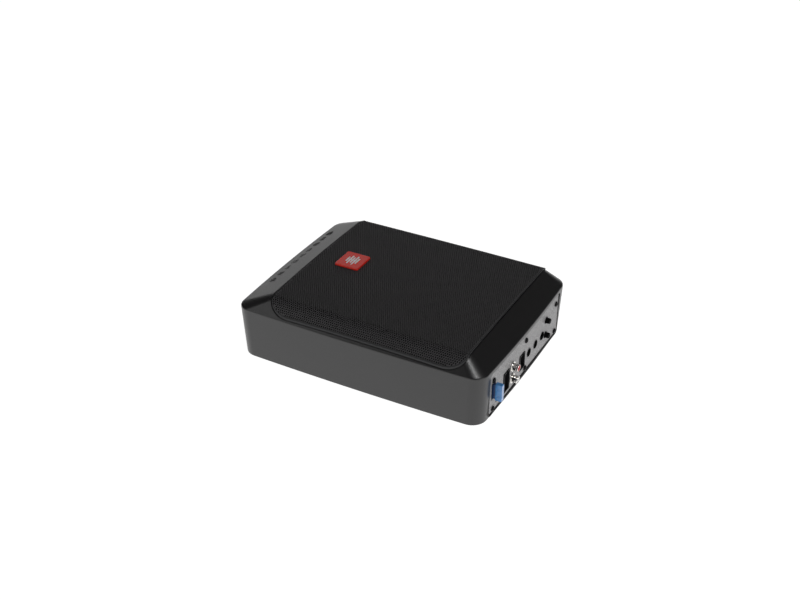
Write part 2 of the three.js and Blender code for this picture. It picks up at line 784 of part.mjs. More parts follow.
// Two blades and the link between them, stamped from one strip.
function fuseElement() {
  const half = fuse.bladeSheet / 2;
  const reach = fuse.width / 2 - 1.2;
  const inside = fuseFront - fuse.wall - gap;
  const strip = upright(fuseY, fuseZ, half, reach, fuseBack - fuse.bladeLength, inside);
  const between = reach - fuse.bladeWidth;
  return strip
    .subtract(upright(fuseY, fuseZ, 1, between, fuseBack - fuse.bladeLength - 1, inside - 4))
    .subtract(upright(fuseY, fuseZ, 1, between, inside - 2.5, inside + 1));
}

const blockFace = panelBack - 2 * gap;

function rcaBlock() {
  const bottom = board.top + gap;
  const top = place.rca.upperZ + rca.radius + 3;
  const y = panelY(place.rca.along);
  const half = rca.blockWidth / 2;
  return box(blockFace - rca.blockDepth, blockFace, y - half, y + half, bottom, top);
}

const rcaFront = panelFace + rca.protrusion;

function rcaBarrel(z) {
  const y = panelY(place.rca.along);
  return rod(y, z, rca.radius, blockFace + gap, rcaFront, 20)
    .subtract(rod(y, z, rca.radius - rca.wall, blockFace, rcaFront + 1, 20));
}

function rcaInsulator(z) {
  const y = panelY(place.rca.along);
  const front = rcaFront - 1.2;
  return rod(y, z, rca.radius - rca.wall - gap, blockFace + gap, front)
    .subtract(rod(y, z, rca.bore, blockFace + 2, front + 1, 12));
}

const knobFront = panelFace - knob.recess;
const knobBack = knobFront - knob.depth;

function controlKnob(y) {
  const z = place.knobs.z;
  return rod(y, z, knob.radius, knobBack, knobFront, 20)
    .add(rod(y, z, knob.shaftRadius, knobBack - knob.shaftLength, knobBack + 1))
    .subtract(upright(y, z, knob.slot / 2, knob.radius + 1, knobFront - 1.5, knobFront + 1));
}

function potentiometer(y) {
  const front = knobBack - gap;
  const bottom = board.top + gap;
  return box(front - pot.depth, front, y - pot.width / 2, y + pot.width / 2, bottom, bottom + pot.height)
    .subtract(rod(y, place.knobs.z, knob.shaftRadius + gap, front - knob.shaftLength - gap, front + 1));
}

// A push button: a round cap, a collar behind the panel, and a tail that works the switch.
const collarFront = panelBack - 2 * gap;
const collarBack = collarFront - button.collar;

function pushButton(z) {
  return rod(buttonY, z, button.radius, collarFront - 1, panelFace + button.protrusion, 20)
    .add(rod(buttonY, z, button.collarRadius, collarBack, collarFront, 20))
    .add(rod(buttonY, z, 1.5, collarBack - button.tail, collarBack + 0.5, 12));
}

const switchFront = collarBack - button.travel - gap;

function switchBlock(z) {
  const { width, depth, height } = switchBody;
  return upright(buttonY, z, width / 2, height / 2, switchFront - depth, switchFront)
    .subtract(rod(buttonY, z, 1.5 + gap, switchFront - button.tail - 0.5, switchFront + 1, 12));
}

function powerLed() {
  const front = panelFace + led.proud;
  return rod(panelY(place.led.along), place.led.z, led.radius, front - led.length, front, 12);
}

// ---------------------------------------------------------------- amplifier

const boardX0 = wooferX + motor.magnetRadius + board.fromMagnet;
const boardX1 = panelBack - gap - 1;
const boardY = openingY - board.sideMargin;

function circuitBoard() {
  const bottom = board.top - board.thickness;
  return box(boardX0, boardX1, -boardY, boardY, bottom, board.top)
    .subtract(box(
      boardX1 - board.notch - 6,
      endX,
      middleScrewY - board.notch / 2,
      middleScrewY + board.notch / 2,
      0,
      board.top + 1,
    ));
}

function finnedHeatSink() {
  const { length, depth, height, base: spine, fin, fins } = heatSink;
  const x0 = boardX0 + 3;
  const bottom = board.top + gap;
  const y0 = -boardY + 2;
  const parts = [box(x0, x0 + spine, y0, y0 + length, bottom, bottom + height)];
  for (let i = 0; i < fins; i += 1) {
    const y = y0 + (i * (length - fin)) / (fins - 1);
    parts.push(box(x0 + spine / 2, x0 + depth, y, y + fin, bottom, bottom + height));
  }
  return union(parts);
}

// ---------------------------------------------------------------- assembly

addPart('enclosure_shell', enclosureShell(), 'housing');
addPart('base_plate', basePlate(), 'black');
feet.forEach((at, i) => addPart(`foot_${i + 1}`, footPad(at), 'rubber'));
baseScrews.forEach((at, i) => addPart(`base_screw_${i + 1}`, baseScrewAt(at), 'darkSteel'));
addPart('grille', grilleSheet(), 'grille');
addPart('badge_plate', badgePlate(), 'badge');
addPart('badge_emblem', levelMark(0, badgeTop - emblem.depth, badgeTop + emblem.rise), 'white');

addPart('woofer_basket', wooferBasket(), 'darkSteel');
wooferScrews.forEach((at, i) => addPart(`woofer_screw_${i + 1}`, wooferScrew(at), 'darkSteel'));
const frontPlateBottom = frontPlateTop - motor.plateThickness;
addPart(
  'front_pole_plate',
  flatRing(coilGapRadius, motor.plateRadius, frontPlateBottom, frontPlateTop),
  'steel',
);
addPart('magnet', flatRing(motor.magnetBore, motor.magnetRadius, backPlateTop + gap, magnetTop), 'ferrite');
addPart('back_plate_and_pole', backPlateAndPole(), 'steel');
addPart('cone', cone(), 'paper');
addPart('dust_cap', dustCap(), 'paper');
const formerBore = woofer.coilRadius - woofer.formerWall;
const formerTop = formerBottom + woofer.formerLength;
addPart('voice_coil', flatRing(formerBore, woofer.coilRadius, formerBottom, formerTop), 'copper');
addPart('surround', surround(), 'rubber');
addPart('spider', spider(), 'paper');

addPart('control_panel', controlPanel(), 'panel');
panelScrews.forEach(({ y, z }, i) => {
  addPart(`panel_screw_${i + 1}`, screwAlongX(y, z, panelFace + gap, panelScrew), 'darkSteel');
});
addPart('fuse_holder', fuseHolder(), 'black');
addPart('fuse_body', fuseBody(), 'fuse');
addPart('fuse_element', fuseElement(), 'steel');
addPart('power_socket', openSocket(place.power, powerSocket), 'black');
addPart('speaker_input_socket', openSocket(place.speaker, speakerSocket), 'black');
addPart('rca_block', rcaBlock(), 'black');
addPart('rca_barrel_right', rcaBarrel(place.rca.upperZ), 'nickel');
addPart('rca_barrel_left', rcaBarrel(place.rca.lowerZ), 'nickel');
addPart('rca_insulator_red', rcaInsulator(place.rca.upperZ), 'red');
addPart('rca_insulator_white', rcaInsulator(place.rca.lowerZ), 'white');
['gain', 'boost', 'crossover'].forEach((control, i) => {
  addPart(`${control}_knob`, controlKnob(knobCentres[i]), 'black');
  addPart(`${control}_potentiometer`, potentiometer(knobCentres[i]), 'steel');
});
addPart('phase_button', pushButton(place.buttons.lowerZ), 'black');
addPart('mode_button', pushButton(place.buttons.upperZ), 'black');
addPart('phase_switch', switchBlock(place.buttons.lowerZ), 'black');
addPart('mode_switch', switchBlock(place.buttons.upperZ), 'black');
addPart('power_led', powerLed(), 'light');

addPart('circuit_board', circuitBoard(), 'board');
addPart('heat_sink', finnedHeatSink(), 'aluminium');
const partBottom = board.top + gap;
const partX = boardX0 + board.partInset;
capacitor.y.forEach((y, i) => {
  const shape = post(partX, y, capacitor.radius, partBottom, partBottom + capacitor.height, 20);
  addPart(`capacitor_${i + 1}`, shape, 'black');
});
const chokeProfile = [
  [choke.innerRadius, partBottom],
  [choke.outerRadius, partBottom],
  [choke.outerRadius, partBottom + choke.height],
  [choke.innerRadius, partBottom + choke.height],
];
addPart('choke_coil', turned(partX, choke.y, chokeProfile, 24), 'copper');

// The fuse stands out beyond the housing's end, so the footprint's centre is half of that further on.
group.position.x = -(fuseFront - endX) / 2;

export default group;
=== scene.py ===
"""Powered under-seat car subwoofer: the surfaces and materials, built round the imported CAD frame.

Shapes are written in millimetres from the middle of the housing's footprint, with +X towards the control
panel, -Y the front and +Z up. make_mesh() turns them into metres in the frame's own coordinates.
"""

import math

import bpy
import numpy as np
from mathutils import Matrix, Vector


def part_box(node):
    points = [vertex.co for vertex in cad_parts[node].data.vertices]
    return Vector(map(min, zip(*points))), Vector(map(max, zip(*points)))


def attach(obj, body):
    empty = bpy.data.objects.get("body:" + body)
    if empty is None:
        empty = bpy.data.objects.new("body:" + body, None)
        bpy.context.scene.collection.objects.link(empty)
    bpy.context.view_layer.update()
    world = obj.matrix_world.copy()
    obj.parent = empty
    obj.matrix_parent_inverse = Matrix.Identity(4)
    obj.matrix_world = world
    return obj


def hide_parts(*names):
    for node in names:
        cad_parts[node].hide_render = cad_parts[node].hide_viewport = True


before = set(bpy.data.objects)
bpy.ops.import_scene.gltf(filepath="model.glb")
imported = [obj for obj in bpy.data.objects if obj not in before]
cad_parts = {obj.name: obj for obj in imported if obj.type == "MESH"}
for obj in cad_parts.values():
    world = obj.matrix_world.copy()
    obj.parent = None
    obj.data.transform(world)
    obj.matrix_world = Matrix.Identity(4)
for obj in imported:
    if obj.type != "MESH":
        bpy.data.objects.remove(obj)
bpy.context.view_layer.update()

MM = 0.001

# ---- sizes, from the frame and the design

shell_low, shell_high = (Vector(corner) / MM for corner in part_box("enclosure_shell"))
LENGTH, WIDTH, _ = shell_high - shell_low
BOTTOM, TOP = shell_low.z, shell_high.z
CENTRE_X = (shell_low.x + shell_high.x) / 2
MIDDLE = Vector((CENTRE_X, 0, 0))

WALL_TOP = 61.0  # where the upright walls turn into the bevels
DRAFT = 2.4
CORNER_RADIUS = 16.8
WALL_FILLET, RIM_FILLET = 1.3, 0.9
END_BOW, SIDE_BOW = 1.95, 1.83
BLANK_END_BEVEL, PANEL_END_BEVEL, SIDE_BEVEL = 39.2, 23.6, 13.9
PLATE_RADIUS, PLATE_END_BOW, PLATE_SIDE_BOW = 10.0, 1.35, 0.6
CREASE = 6.0  # half the width of the soft crease between the flat top and a long bevel
WALL = 3.6
CLEARANCE = 0.3

END_X, SIDE_Y = LENGTH / 2, WIDTH / 2
DROP = TOP - WALL_TOP
WALL_BOX = (-END_X, END_X, -SIDE_Y, SIDE_Y)
PLATE_BOX = (-END_X + BLANK_END_BEVEL, END_X - PANEL_END_BEVEL, -SIDE_Y + SIDE_BEVEL, SIDE_Y - SIDE_BEVEL)


def node_box(name):
    """A CAD node's corners in millimetres from the housing's middle: (x0, x1, y0, y1, z0, z1)."""
    low, high = (Vector(corner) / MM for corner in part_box(name))
    return low.x - CENTRE_X, high.x - CENTRE_X, low.y, high.y, low.z, high.z


def node_centre(name):
    x0, x1, y0, y1, z0, z1 = node_box(name)
    return (x0 + x1) / 2, (y0 + y1) / 2, (z0 + z1) / 2


def node_axis(name):
    """A round node that lies along X: its two ends, a point on its centre line and its radius."""
    x0, x1, y0, y1, z0, z1 = node_box(name)
    return x0, x1, (0, (y0 + y1) / 2, (z0 + z1) / 2), (y1 - y0) / 2


# ---- mesh helpers


def new_object(name, data):
    obj = bpy.data.objects.new(name, data)
    bpy.context.scene.collection.objects.link(obj)
    return obj


def make_mesh(name, points, faces):
    """An object whose mesh holds these points, given in millimetres."""
    data = bpy.data.meshes.new(name)
    placed = (np.asarray(points, float) + (CENTRE_X, 0, 0)) * MM
    data.from_pydata(placed.tolist(), [], [list(face) for face in faces])
    data.validate()
    return new_object(name, data)


def remove(obj):
    data = obj.data
    bpy.data.objects.remove(obj)
    bpy.data.meshes.remove(data)


def apply_modifiers(obj):
    bpy.context.view_layer.update()
    graph = bpy.context.evaluated_depsgraph_get()
    data = bpy.data.meshes.new_from_object(obj.evaluated_get(graph))
    old = obj.data
    obj.modifiers.clear()
    obj.data = data
    bpy.data.meshes.remove(old)
    data.name = obj.name


def join(name, objects):
    """Several mesh objects as one, keeping their separate shells."""
    points, faces = [], []
    for obj in objects:
        start = len(points)
        points += [vertex.co / MM - MIDDLE for vertex in obj.data.vertices]
        faces += [[start + index for index in face.vertices] for face in obj.data.polygons]
        remove(obj)
    return make_mesh(name, points, faces)


def cut(obj, others):
    """Cuts the others out of an object, one after another, and removes them."""
    for other in others:
        modifier = obj.modifiers.new("cut", "BOOLEAN")
        modifier.operation = "DIFFERENCE"
        modifier.solver = "EXACT"
        modifier.object = other
        apply_modifiers(obj)
        remove(other)
    return obj


def soften(obj, width, angle=35, segments=2):
    """Rounds the edges sharper than this angle, in degrees, by a width in millimetres."""
    modifier = obj.modifiers.new("soften", "BEVEL")
    modifier.width = width * MM
    modifier.segments = segments
    modifier.limit_method = "ANGLE"
    modifier.angle_limit = math.radians(angle)
    modifier.miter_outer = "MITER_ARC"
    apply_modifiers(obj)
    return obj


def shade(obj, angle=38):
    """Smooth shading that keeps the edges sharper than this angle."""
    obj.data.polygons.foreach_set("use_smooth", [True] * len(obj.data.polygons))
    obj.data.set_sharp_from_angle(angle=math.radians(angle))
    modifier = obj.modifiers.new("normals", "WEIGHTED_NORMAL")
    modifier.keep_sharp = True
    apply_modifiers(obj)
    return obj


def skin(name, rings, closed=False):
    """A surface through equal rings of points, capped at both ends or, when closed, joined last to first."""
    count = len(rings[0])
    faces = []
    for level in range(len(rings) if closed else len(rings) - 1):
        a, b = level * count, (level + 1) % len(rings) * count
        for i in range(count):
            j = (i + 1) % count
            faces.append((a + i, a + j, b + j, b + i))
    if not closed:
        faces.append(tuple(range(count))[::-1])
        faces.append(tuple(range((len(rings) - 1) * count, len(rings) * count)))
    return make_mesh(name, np.vstack(rings), faces)


POINT_RADIUS = 0.01  # an end that would come to a point keeps a ring this small


def turned(name, profile, centre, axis="x", segments=48, closed=False):
    """A body of revolution. The profile is (radius, distance along the axis) from one end to the other."""
    cx, cy, cz = centre
    angles = np.linspace(0, 2 * math.pi, segments, endpoint=False)
    cos, sin = np.cos(angles), np.sin(angles)
    rings = []
    for radius, along in profile:
        radius = max(radius, POINT_RADIUS)
        if axis == "x":
            ring = [np.full(segments, cx + along), cy + radius * cos, cz + radius * sin]
        else:
            ring = [cx + radius * cos, cy + radius * sin, np.full(segments, cz + along)]
        rings.append(np.column_stack(ring))
    return skin(name, rings, closed)


def tube(name, profile, centre, segments=48):
    """A ring of revolution along X: the profile is a closed loop that stays off the axis."""
    return turned(name, profile, centre, "x", segments, True)


def block(name, x0, x1, y0, y1, z0, z1):
    """A plain box, for cutting or for rounding by soften()."""
    points = [(x, y, z) for x in (x0, x1) for y in (y0, y1) for z in (z0, z1)]
    faces = [(0, 1, 3, 2), (4, 6, 7, 5), (0, 4, 5, 1), (2, 3, 7, 6), (0, 2, 6, 4), (1, 5, 7, 3)]
    return make_mesh(name, points, faces)


def slab(name, x0, x1, y, half_y, z, half_z):
    """A plain box between two X values, centred on (y, z)."""
    return block(name, x0, x1, y - half_y, y + half_y, z - half_z, z + half_z)


def outline(box, corner, bow=(0, 0, 0), arcs=10, sides=16):
    """A rectangle with elliptical corners and bowed sides: N points (x, y), anticlockwise."""
    x0, x1, y0, y1 = box
    rx, ry = corner
    low_bow, high_bow, side_bow = bow
    left, right = x0 + low_bow + rx, x1 - high_bow - rx
    near, far = y0 + side_bow + ry, y1 - side_bow - ry
    middle_x, half_x = (left + right) / 2, (right - left) / 2
    middle_y, half_y = (near + far) / 2, (far - near) / 2
    sides_at = (
        lambda s: (middle_x + s * half_x, y1 - side_bow * s * s),
        lambda s: (x0 + low_bow * s * s, middle_y + s * half_y),
        lambda s: (middle_x - s * half_x, y0 + side_bow * s * s),
        lambda s: (x1 - high_bow * s * s, middle_y - s * half_y),
    )
    points = []
    for quarter, (cx, cy) in enumerate([(right, far), (left, far), (left, near), (right, near)]):
        for step in range(arcs + 1):
            angle = (quarter + step / arcs) * math.pi / 2
            points.append((cx + rx * math.cos(angle), cy + ry * math.sin(angle)))
        for step in range(1, sides):
            points.append(sides_at[quarter](1 - 2 * step / sides))
    return np.array(points)


def grown(box, by):
    x0, x1, y0, y1 = box
    return x0 - by, x1 + by, y0 - by, y1 + by


def at_height(points, z):
    return np.column_stack([points, np.full(len(points), z)])


def prism(name, box, corner, z0, z1, bow=(0, 0, 0), arcs=10, sides=16):
    shape = outline(box, corner, bow, arcs, sides)
    return skin(name, [at_height(shape, z0), at_height(shape, z1)])


def upright_plate(name, y0, y1, z0, z1, radius, x0, x1, arcs=8):
    """A rounded plate that stands across X."""
    shape = outline((y0, y1, z0, z1), (radius, radius), arcs=arcs, sides=1)
    rings = [np.column_stack([np.full(len(shape), x), shape]) for x in (x0, x1)]
    return skin(name, rings)


def rod_x(name, y, z, radius, x0, x1, segments=48):
    return turned(name, [(radius, x0), (radius, x1)], (0, y, z), "x", segments)


def rounded_block(name, x0, x1, y0, y1, z0, z1, radius, segments=3):
    return soften(block(name, x0, x1, y0, y1, z0, z1), radius, segments=segments)


# ---- materials


NOISE_LOW, NOISE_HIGH = 0.3, 0.7  # most of a noise texture lies between these
BANDS_PER_UNIT = 3.18  # of a wave texture whose scale is 1


class Surface:
    """A node material round one Principled shader, with its textures' sizes in millimetres."""

    def __init__(self, name, colour, roughness, metallic=0.0, **sockets):
        self.material = bpy.data.materials.new(name)
        self.material.use_nodes = True
        self.nodes = self.material.node_tree.nodes
        self.links = self.material.node_tree.links
        self.shader = self.nodes["Principled BSDF"]
        self.colour = colour
        self.shader.inputs["Base Color"].default_value = (*colour, 1)
        self.shader.inputs["Roughness"].default_value = roughness
        self.shader.inputs["Metallic"].default_value = metallic
        for socket, value in sockets.items():
            self.shader.inputs[socket.replace("_", " ")].default_value = value
        self.place = self.nodes.new("ShaderNodeTexCoord").outputs["Object"]

    def texture(self, kind, scale, place=None):
        node = self.nodes.new("ShaderNodeTex" + kind)
        node.inputs["Scale"].default_value = scale
        self.links.new(place or self.place, node.inputs["Vector"])
        return node

    def noise(self, size, detail=3.0, rough=0.55, stretch=None):
        place = None
        if stretch:
            mapping = self.nodes.new("ShaderNodeMapping")
            mapping.inputs["Scale"].default_value = stretch
            self.links.new(self.place, mapping.inputs["Vector"])
            place = mapping.outputs["Vector"]
        node = self.texture("Noise", 1 / (size * MM), place)
        node.inputs["Detail"].default_value = detail
        node.inputs["Roughness"].default_value = rough
        return node.outputs["Fac"]

    def cells(self, size, feature="F1"):
        node = self.texture("Voronoi", 1 / (size * MM))
        node.feature = feature
        return node.outputs["Distance"]

    def waves(self, size, direction):
        node = self.texture("Wave", 1 / (size * MM) / BANDS_PER_UNIT)
        node.bands_direction = direction
        return node.outputs["Fac"]

    def blend(self, pattern, first, second, low, high):
        """Base colour goes from the first to the second as the pattern goes from low to high."""
        ramp = self.nodes.new("ShaderNodeValToRGB")
        for element, place, colour in zip(ramp.color_ramp.elements, (low, high), (first, second)):
            element.position = place
            element.color = (*colour, 1)
        self.links.new(pattern, ramp.inputs["Fac"])
        self.links.new(ramp.outputs["Color"], self.shader.inputs["Base Color"])
        return self

    def tint(self, pattern, spread, low=NOISE_LOW, high=NOISE_HIGH):
        """Base colour varies by this share, darker where the pattern is low."""
        dark, light = ([channel * share for channel in self.colour] for share in (1 - spread, 1 + spread))
        return self.blend(pattern, dark, light, low, high)

    def gloss(self, pattern, low, high):
        """Roughness runs from low to high over the pattern."""
        spread = self.nodes.new("ShaderNodeMapRange")
        spread.inputs["From Min"].default_value = NOISE_LOW
        spread.inputs["From Max"].default_value = NOISE_HIGH
        spread.inputs["To Min"].default_value = low
        spread.inputs["To Max"].default_value = high
        self.links.new(pattern, spread.inputs["Value"])
        self.links.new(spread.outputs["Result"], self.shader.inputs["Roughness"])
        return self

    def relief(self, pattern, depth, strength=1.0):
        """The pattern raises the surface by this depth in millimetres."""
        bump = self.nodes.new("ShaderNodeBump")
        bump.inputs["Distance"].default_value = depth * MM
        bump.inputs["Strength"].default_value = strength
        self.links.new(pattern, bump.inputs["Height"])
        self.links.new(bump.outputs["Normal"], self.shader.inputs["Normal"])
        return self

    def mottled(self, patch, spread, grain, depth, strength, detail=3.0):
        """Patches of tint over a fine relief."""
        self.tint(self.noise(patch, detail), spread)
        return self.relief(self.noise(grain, detail), depth, strength)


def moulded_plastic(name, colour, roughness, **sockets):
    surface = Surface(name, colour, roughness, **sockets)
    fine = surface.noise(0.55, 2)
    broad = surface.noise(35, 2)
    return surface.tint(broad, 0.06).gloss(fine, roughness - 0.05, roughness + 0.07).relief(fine, 0.04, 0.5)


def housing_plastic():
    surface = Surface("housing_plastic", (0.014, 0.0135, 0.014), 0.34, IOR=1.61)
    grain = surface.cells(0.9)
    surface.tint(surface.noise(40, 2), 0.04)
    return surface.gloss(surface.noise(0.7, 2), 0.3, 0.38).relief(grain, 0.05, 0.35)


def grille_coat():
    surface = Surface("grille_coat", (0.066, 0.064, 0.066), 0.42, Specular_IOR_Level=0.2)
    return surface.gloss(surface.noise(1.2, 2), 0.34, 0.46).relief(surface.noise(0.35, 2), 0.03, 0.4)


# The hem takes a darker copy of the grille's coat: painted shade for the dark line along the grille's edge.
def hem_painted_shade():
    surface = Surface("hem_painted_shade", (0.02, 0.02, 0.021), 0.5)
    return surface.gloss(surface.noise(1.2, 2), 0.45, 0.55).relief(surface.noise(0.35, 2), 0.03, 0.4)


def cloth_weave():
    surface = Surface("cloth_weave", (0.004, 0.004, 0.004), 0.95, Specular_IOR_Level=0.1)
    weave = surface.waves(0.5, "X")
    return surface.tint(weave, 0.3).relief(surface.waves(0.5, "Y"), 0.08, 0.6)


def panel_coat():
    surface = Surface("panel_coat", (0.31, 0.305, 0.308), 0.5, 0.1)
    speckle = surface.cells(0.8)
    surface.tint(surface.noise(1.3, 3, 0.7), 0.42, 0.35, 0.65)
    return surface.gloss(speckle, 0.4, 0.6).relief(speckle, 0.12, 0.6)


def black_zinc():
    surface = Surface("black_zinc", (0.006, 0.006, 0.007), 0.4, Specular_IOR_Level=0.12)
    return surface.gloss(surface.noise(0.8, 3), 0.22, 0.42).relief(surface.noise(0.3), 0.02, 0.3)


def bright_metal(name, colour, roughness, grain=0.5, direction=(1, 12, 12)):
    """Drawn or turned metal: fine scratches run along one axis."""
    surface = Surface(name, colour, roughness, 1.0)
    scratches = surface.noise(grain, 3, 0.6, direction)
    return surface.gloss(scratches, roughness - 0.05, roughness + 0.1).relief(scratches, 0.01, 0.3)


def gloss_plastic(name, colour, roughness):
    surface = Surface(name, colour, roughness, Coat_Weight=0.3, Coat_Roughness=0.08)
    return surface.mottled(6, 0.04, 2.5, 0.02, 0.3, 2)


def control_black():
    surface = Surface("control_black", (0.003, 0.003, 0.003), 0.6, Specular_IOR_Level=0.05)
    return surface.mottled(2, 0.2, 0.6, 0.02, 0.3)


def fuse_plastic():
    clear = {"IOR": 1.49, "Transmission_Weight": 0.15, "Coat_Weight": 0.4, "Coat_Roughness": 0.05}
    surface = Surface("fuse_plastic", (0.08, 0.29, 0.66), 0.2, **clear)
    return surface.mottled(5, 0.08, 2, 0.03, 0.3, 2)


def rubber():
    return Surface("foot_rubber", (0.022, 0.022, 0.022), 0.75).mottled(3, 0.2, 0.5, 0.05, 0.5)


def surround_rubber():
    return Surface("surround_rubber", (0.018, 0.018, 0.018), 0.6).mottled(8, 0.2, 0.8, 0.04, 0.4)


def cone_paper():
    surface = Surface("cone_paper", (0.035, 0.033, 0.031), 0.8)
    fibres = surface.noise(0.8, 5, 0.7, (1, 4, 1))
    return surface.tint(fibres, 0.3).relief(fibres, 0.1, 0.6)


def spider_cloth():
    surface = Surface("spider_cloth", (0.42, 0.29, 0.1), 0.8)
    weave = surface.waves(0.9, "X")
    return surface.tint(weave, 0.25).relief(surface.waves(0.9, "Y"), 0.15, 0.7)


def ferrite():
    return Surface("ferrite", (0.05, 0.05, 0.055), 0.7).mottled(1.5, 0.25, 0.6, 0.08, 0.6, 4)


def winding_copper():
    surface = Surface("winding_copper", (0.62, 0.25, 0.1), 0.3, 1.0)
    wires = surface.waves(0.5, "Z")
    return surface.tint(wires, 0.35).relief(wires, 0.12, 0.8)


def circuit_laminate():
    surface = Surface("circuit_laminate", (0.012, 0.1, 0.045), 0.35)
    tracks = surface.cells(5.5, "DISTANCE_TO_EDGE")
    surface.blend(tracks, (0.03, 0.19, 0.08), surface.colour, 0.06, 0.08)
    return surface.relief(tracks, 0.05, 0.4)


def led_lens():
    surface = Surface("led_lens", (0.02, 0.03, 0.05), 0.12, Coat_Weight=0.5)
    return surface.tint(surface.noise(1), 0.1)


# ---- the housing's form


def height_at(x, y):
    """Height of the flat top and the two long bevels, with a soft crease between them."""
    x0, x1, _, y1 = PLATE_BOX
    across = np.clip((x - (x0 + x1) / 2) / ((x1 - x0) / 2), -1, 1)
    along = np.clip(x / (END_X - END_BOW - CORNER_RADIUS), -1, 1)
    plate_y = y1 - PLATE_SIDE_BOW * across**2
    wall_y = SIDE_Y - SIDE_BOW * along**2
    slope = DROP / (wall_y - plate_y)
    past = np.abs(y) - plate_y
    eased = np.where(past < -CREASE, 0, np.where(past > CREASE, past, (past + CREASE) ** 2 / (4 * CREASE)))
    return TOP - slope * eased


def slope_at(x, y):
    """How steeply that height rises along Y."""
    step = 0.05
    return (height_at(x, y + step) - height_at(x, y - step)) / (2 * step)


def rounded(before, corner, after, reach, steps):
    """Rings that round the corner ring, between the rings before and after it."""

    def towards(other):
        step = other - corner
        return corner + step / np.linalg.norm(step, axis=1)[:, None] * reach

    start, end = towards(before), towards(after)
    shares = np.linspace(0, 1, steps + 1)
    return [(1 - t) ** 2 * start + 2 * t * (1 - t) * corner + t * t * end for t in shares]


def housing_rings(inset=0.0, arcs=14, sides=20):
    """Rings of the outer form from the underside to the flat top, or the same form moved inwards."""
    bow = (END_BOW, END_BOW, SIDE_BOW)
    plate_bow = (PLATE_END_BOW, PLATE_END_BOW, PLATE_SIDE_BOW)
    radius = CORNER_RADIUS - inset

    def wall_ring(by, z):
        shape = outline(grown(WALL_BOX, -by - inset), (radius, radius), bow, arcs, sides)
        return at_height(shape, z)

    def plate_ring(by, corner):
        box = grown(PLATE_BOX, -by - inset * 0.4)
        return at_height(outline(box, (corner, corner), plate_bow, arcs, sides), TOP - inset)

    bottom = BOTTOM - inset
    wall_top = wall_ring(0, WALL_TOP - inset * 0.34)
    plate = plate_ring(0, PLATE_RADIUS)
    foot = wall_ring(DRAFT, bottom)
    under = wall_ring(DRAFT + 2, bottom)
    rings = [under, *rounded(under, foot, wall_top, RIM_FILLET, 3)]
    rings += rounded(foot, wall_top, plate, WALL_FILLET, 6)
    rings += rounded(wall_top, plate, plate_ring(4, PLATE_RADIUS - 3), WALL_FILLET, 5)
    rings.append(plate_ring(6, PLATE_RADIUS - 5))
    return rings


# ---- the grille's form

GRILLE = node_box("grille")
GRILLE_BOX = GRILLE[:4]
GRILLE_MIDDLE = (GRILLE_BOX[0] + GRILLE_BOX[1]) / 2
GRILLE_CORNER = (26.0, 12.0)
GRILLE_BOW = (3.8, 0, 0)
GRILLE_PROUD = GRILLE[5] - TOP
HOLE_PITCH = 2.5
HOLE_RADIUS = 1.0
HEXAGON = np.radians(np.arange(6) * 60 + 30)  # the directions of a cell's corners
SAME_POINT = 0.05  # corners this close are one point
SHEET = 0.9
HEM = 1.2


def grille_outline(inset, arcs=24, sides=48):
    corner = (GRILLE_CORNER[0] - inset, GRILLE_CORNER[1] - inset)
    return outline(grown(GRILLE_BOX, -inset), corner, GRILLE_BOW, arcs, sides)


def inside(points, polygon):
    """Whether each point (x, y) lies in the closed polygon."""
    x, y = points[:, 0], points[:, 1]
    crossings = np.zeros(len(points), bool)
    for (xa, ya), (xb, yb) in zip(polygon, np.roll(polygon, -1, axis=0)):
        if ya == yb:
            continue
        spans = (ya > y) != (yb > y)
        crossings ^= spans & (x < (xb - xa) * (y - ya) / (yb - ya) + xa)
    return crossings


def sheet_lengths():
    """Plan distances from the middle line, and the lengths along the bent sheet that reach them."""
    samples = np.linspace(0, SIDE_Y, 600)
    heights = height_at(np.zeros_like(samples), samples)
    return samples, np.concatenate([[0], np.cumsum(np.hypot(np.diff(samples), np.diff(heights)))])


PLAN, DEVELOPED = sheet_lengths()


def bent(x, along, lift):
    """Points on the bent sheet from flat coordinates; along is the length across the sheet."""
    y = np.sign(along) * np.interp(np.abs(along), DEVELOPED, PLAN)
    slope = slope_at(x, y)
    normal = np.sqrt(1 + slope**2)
    return np.column_stack([x, y - lift * slope / normal, height_at(x, y) + lift / normal])


def unbent(points):
    """Flat sheet coordinates of plan points (x, y)."""
    along = np.sign(points[:, 1]) * np.interp(np.abs(points[:, 1]), PLAN, DEVELOPED)
    return np.column_stack([points[:, 0], along])


def flat_outline(inset):
    """The grille's outline on the flat sheet, with closely spaced points."""
    return unbent(grille_outline(inset, 40, 320))


def pulled_in(points, edge):
    """Moves the points outside a closed edge onto it, and returns which they are and how far each went."""
    outside = np.flatnonzero(~inside(points, edge))
    nearest = np.argmin(((points[outside, None] - edge[None]) ** 2).sum(axis=2), axis=1)
    moved = np.hypot(*(points[outside] - edge[nearest]).T)
    points[outside] = edge[nearest]
    return outside, moved


def sheet_cells(x_from, x_to):
    """Flat centres (x, along) of the sheet's cells between two X values, and whether each has a hole."""
    row_height = HOLE_PITCH * math.sqrt(3) / 2
    rows, columns = int(DEVELOPED[-1] / row_height), int(END_X / HOLE_PITCH)
    grids = np.meshgrid(np.arange(-rows, rows + 1), np.arange(-columns, columns + 1), indexing="ij")
    row, column = (grid.ravel() for grid in grids)
    x = (column + (row % 2) / 2) * HOLE_PITCH
    along = row * row_height
    plan = bent(x, along, 0)[:, :2]
    kept = inside(plan, grille_outline(-0.5)) & (x >= x_from) & (x < x_to)
    return x[kept], along[kept], inside(plan[kept], grille_outline(HEM + HOLE_RADIUS * 0.7))


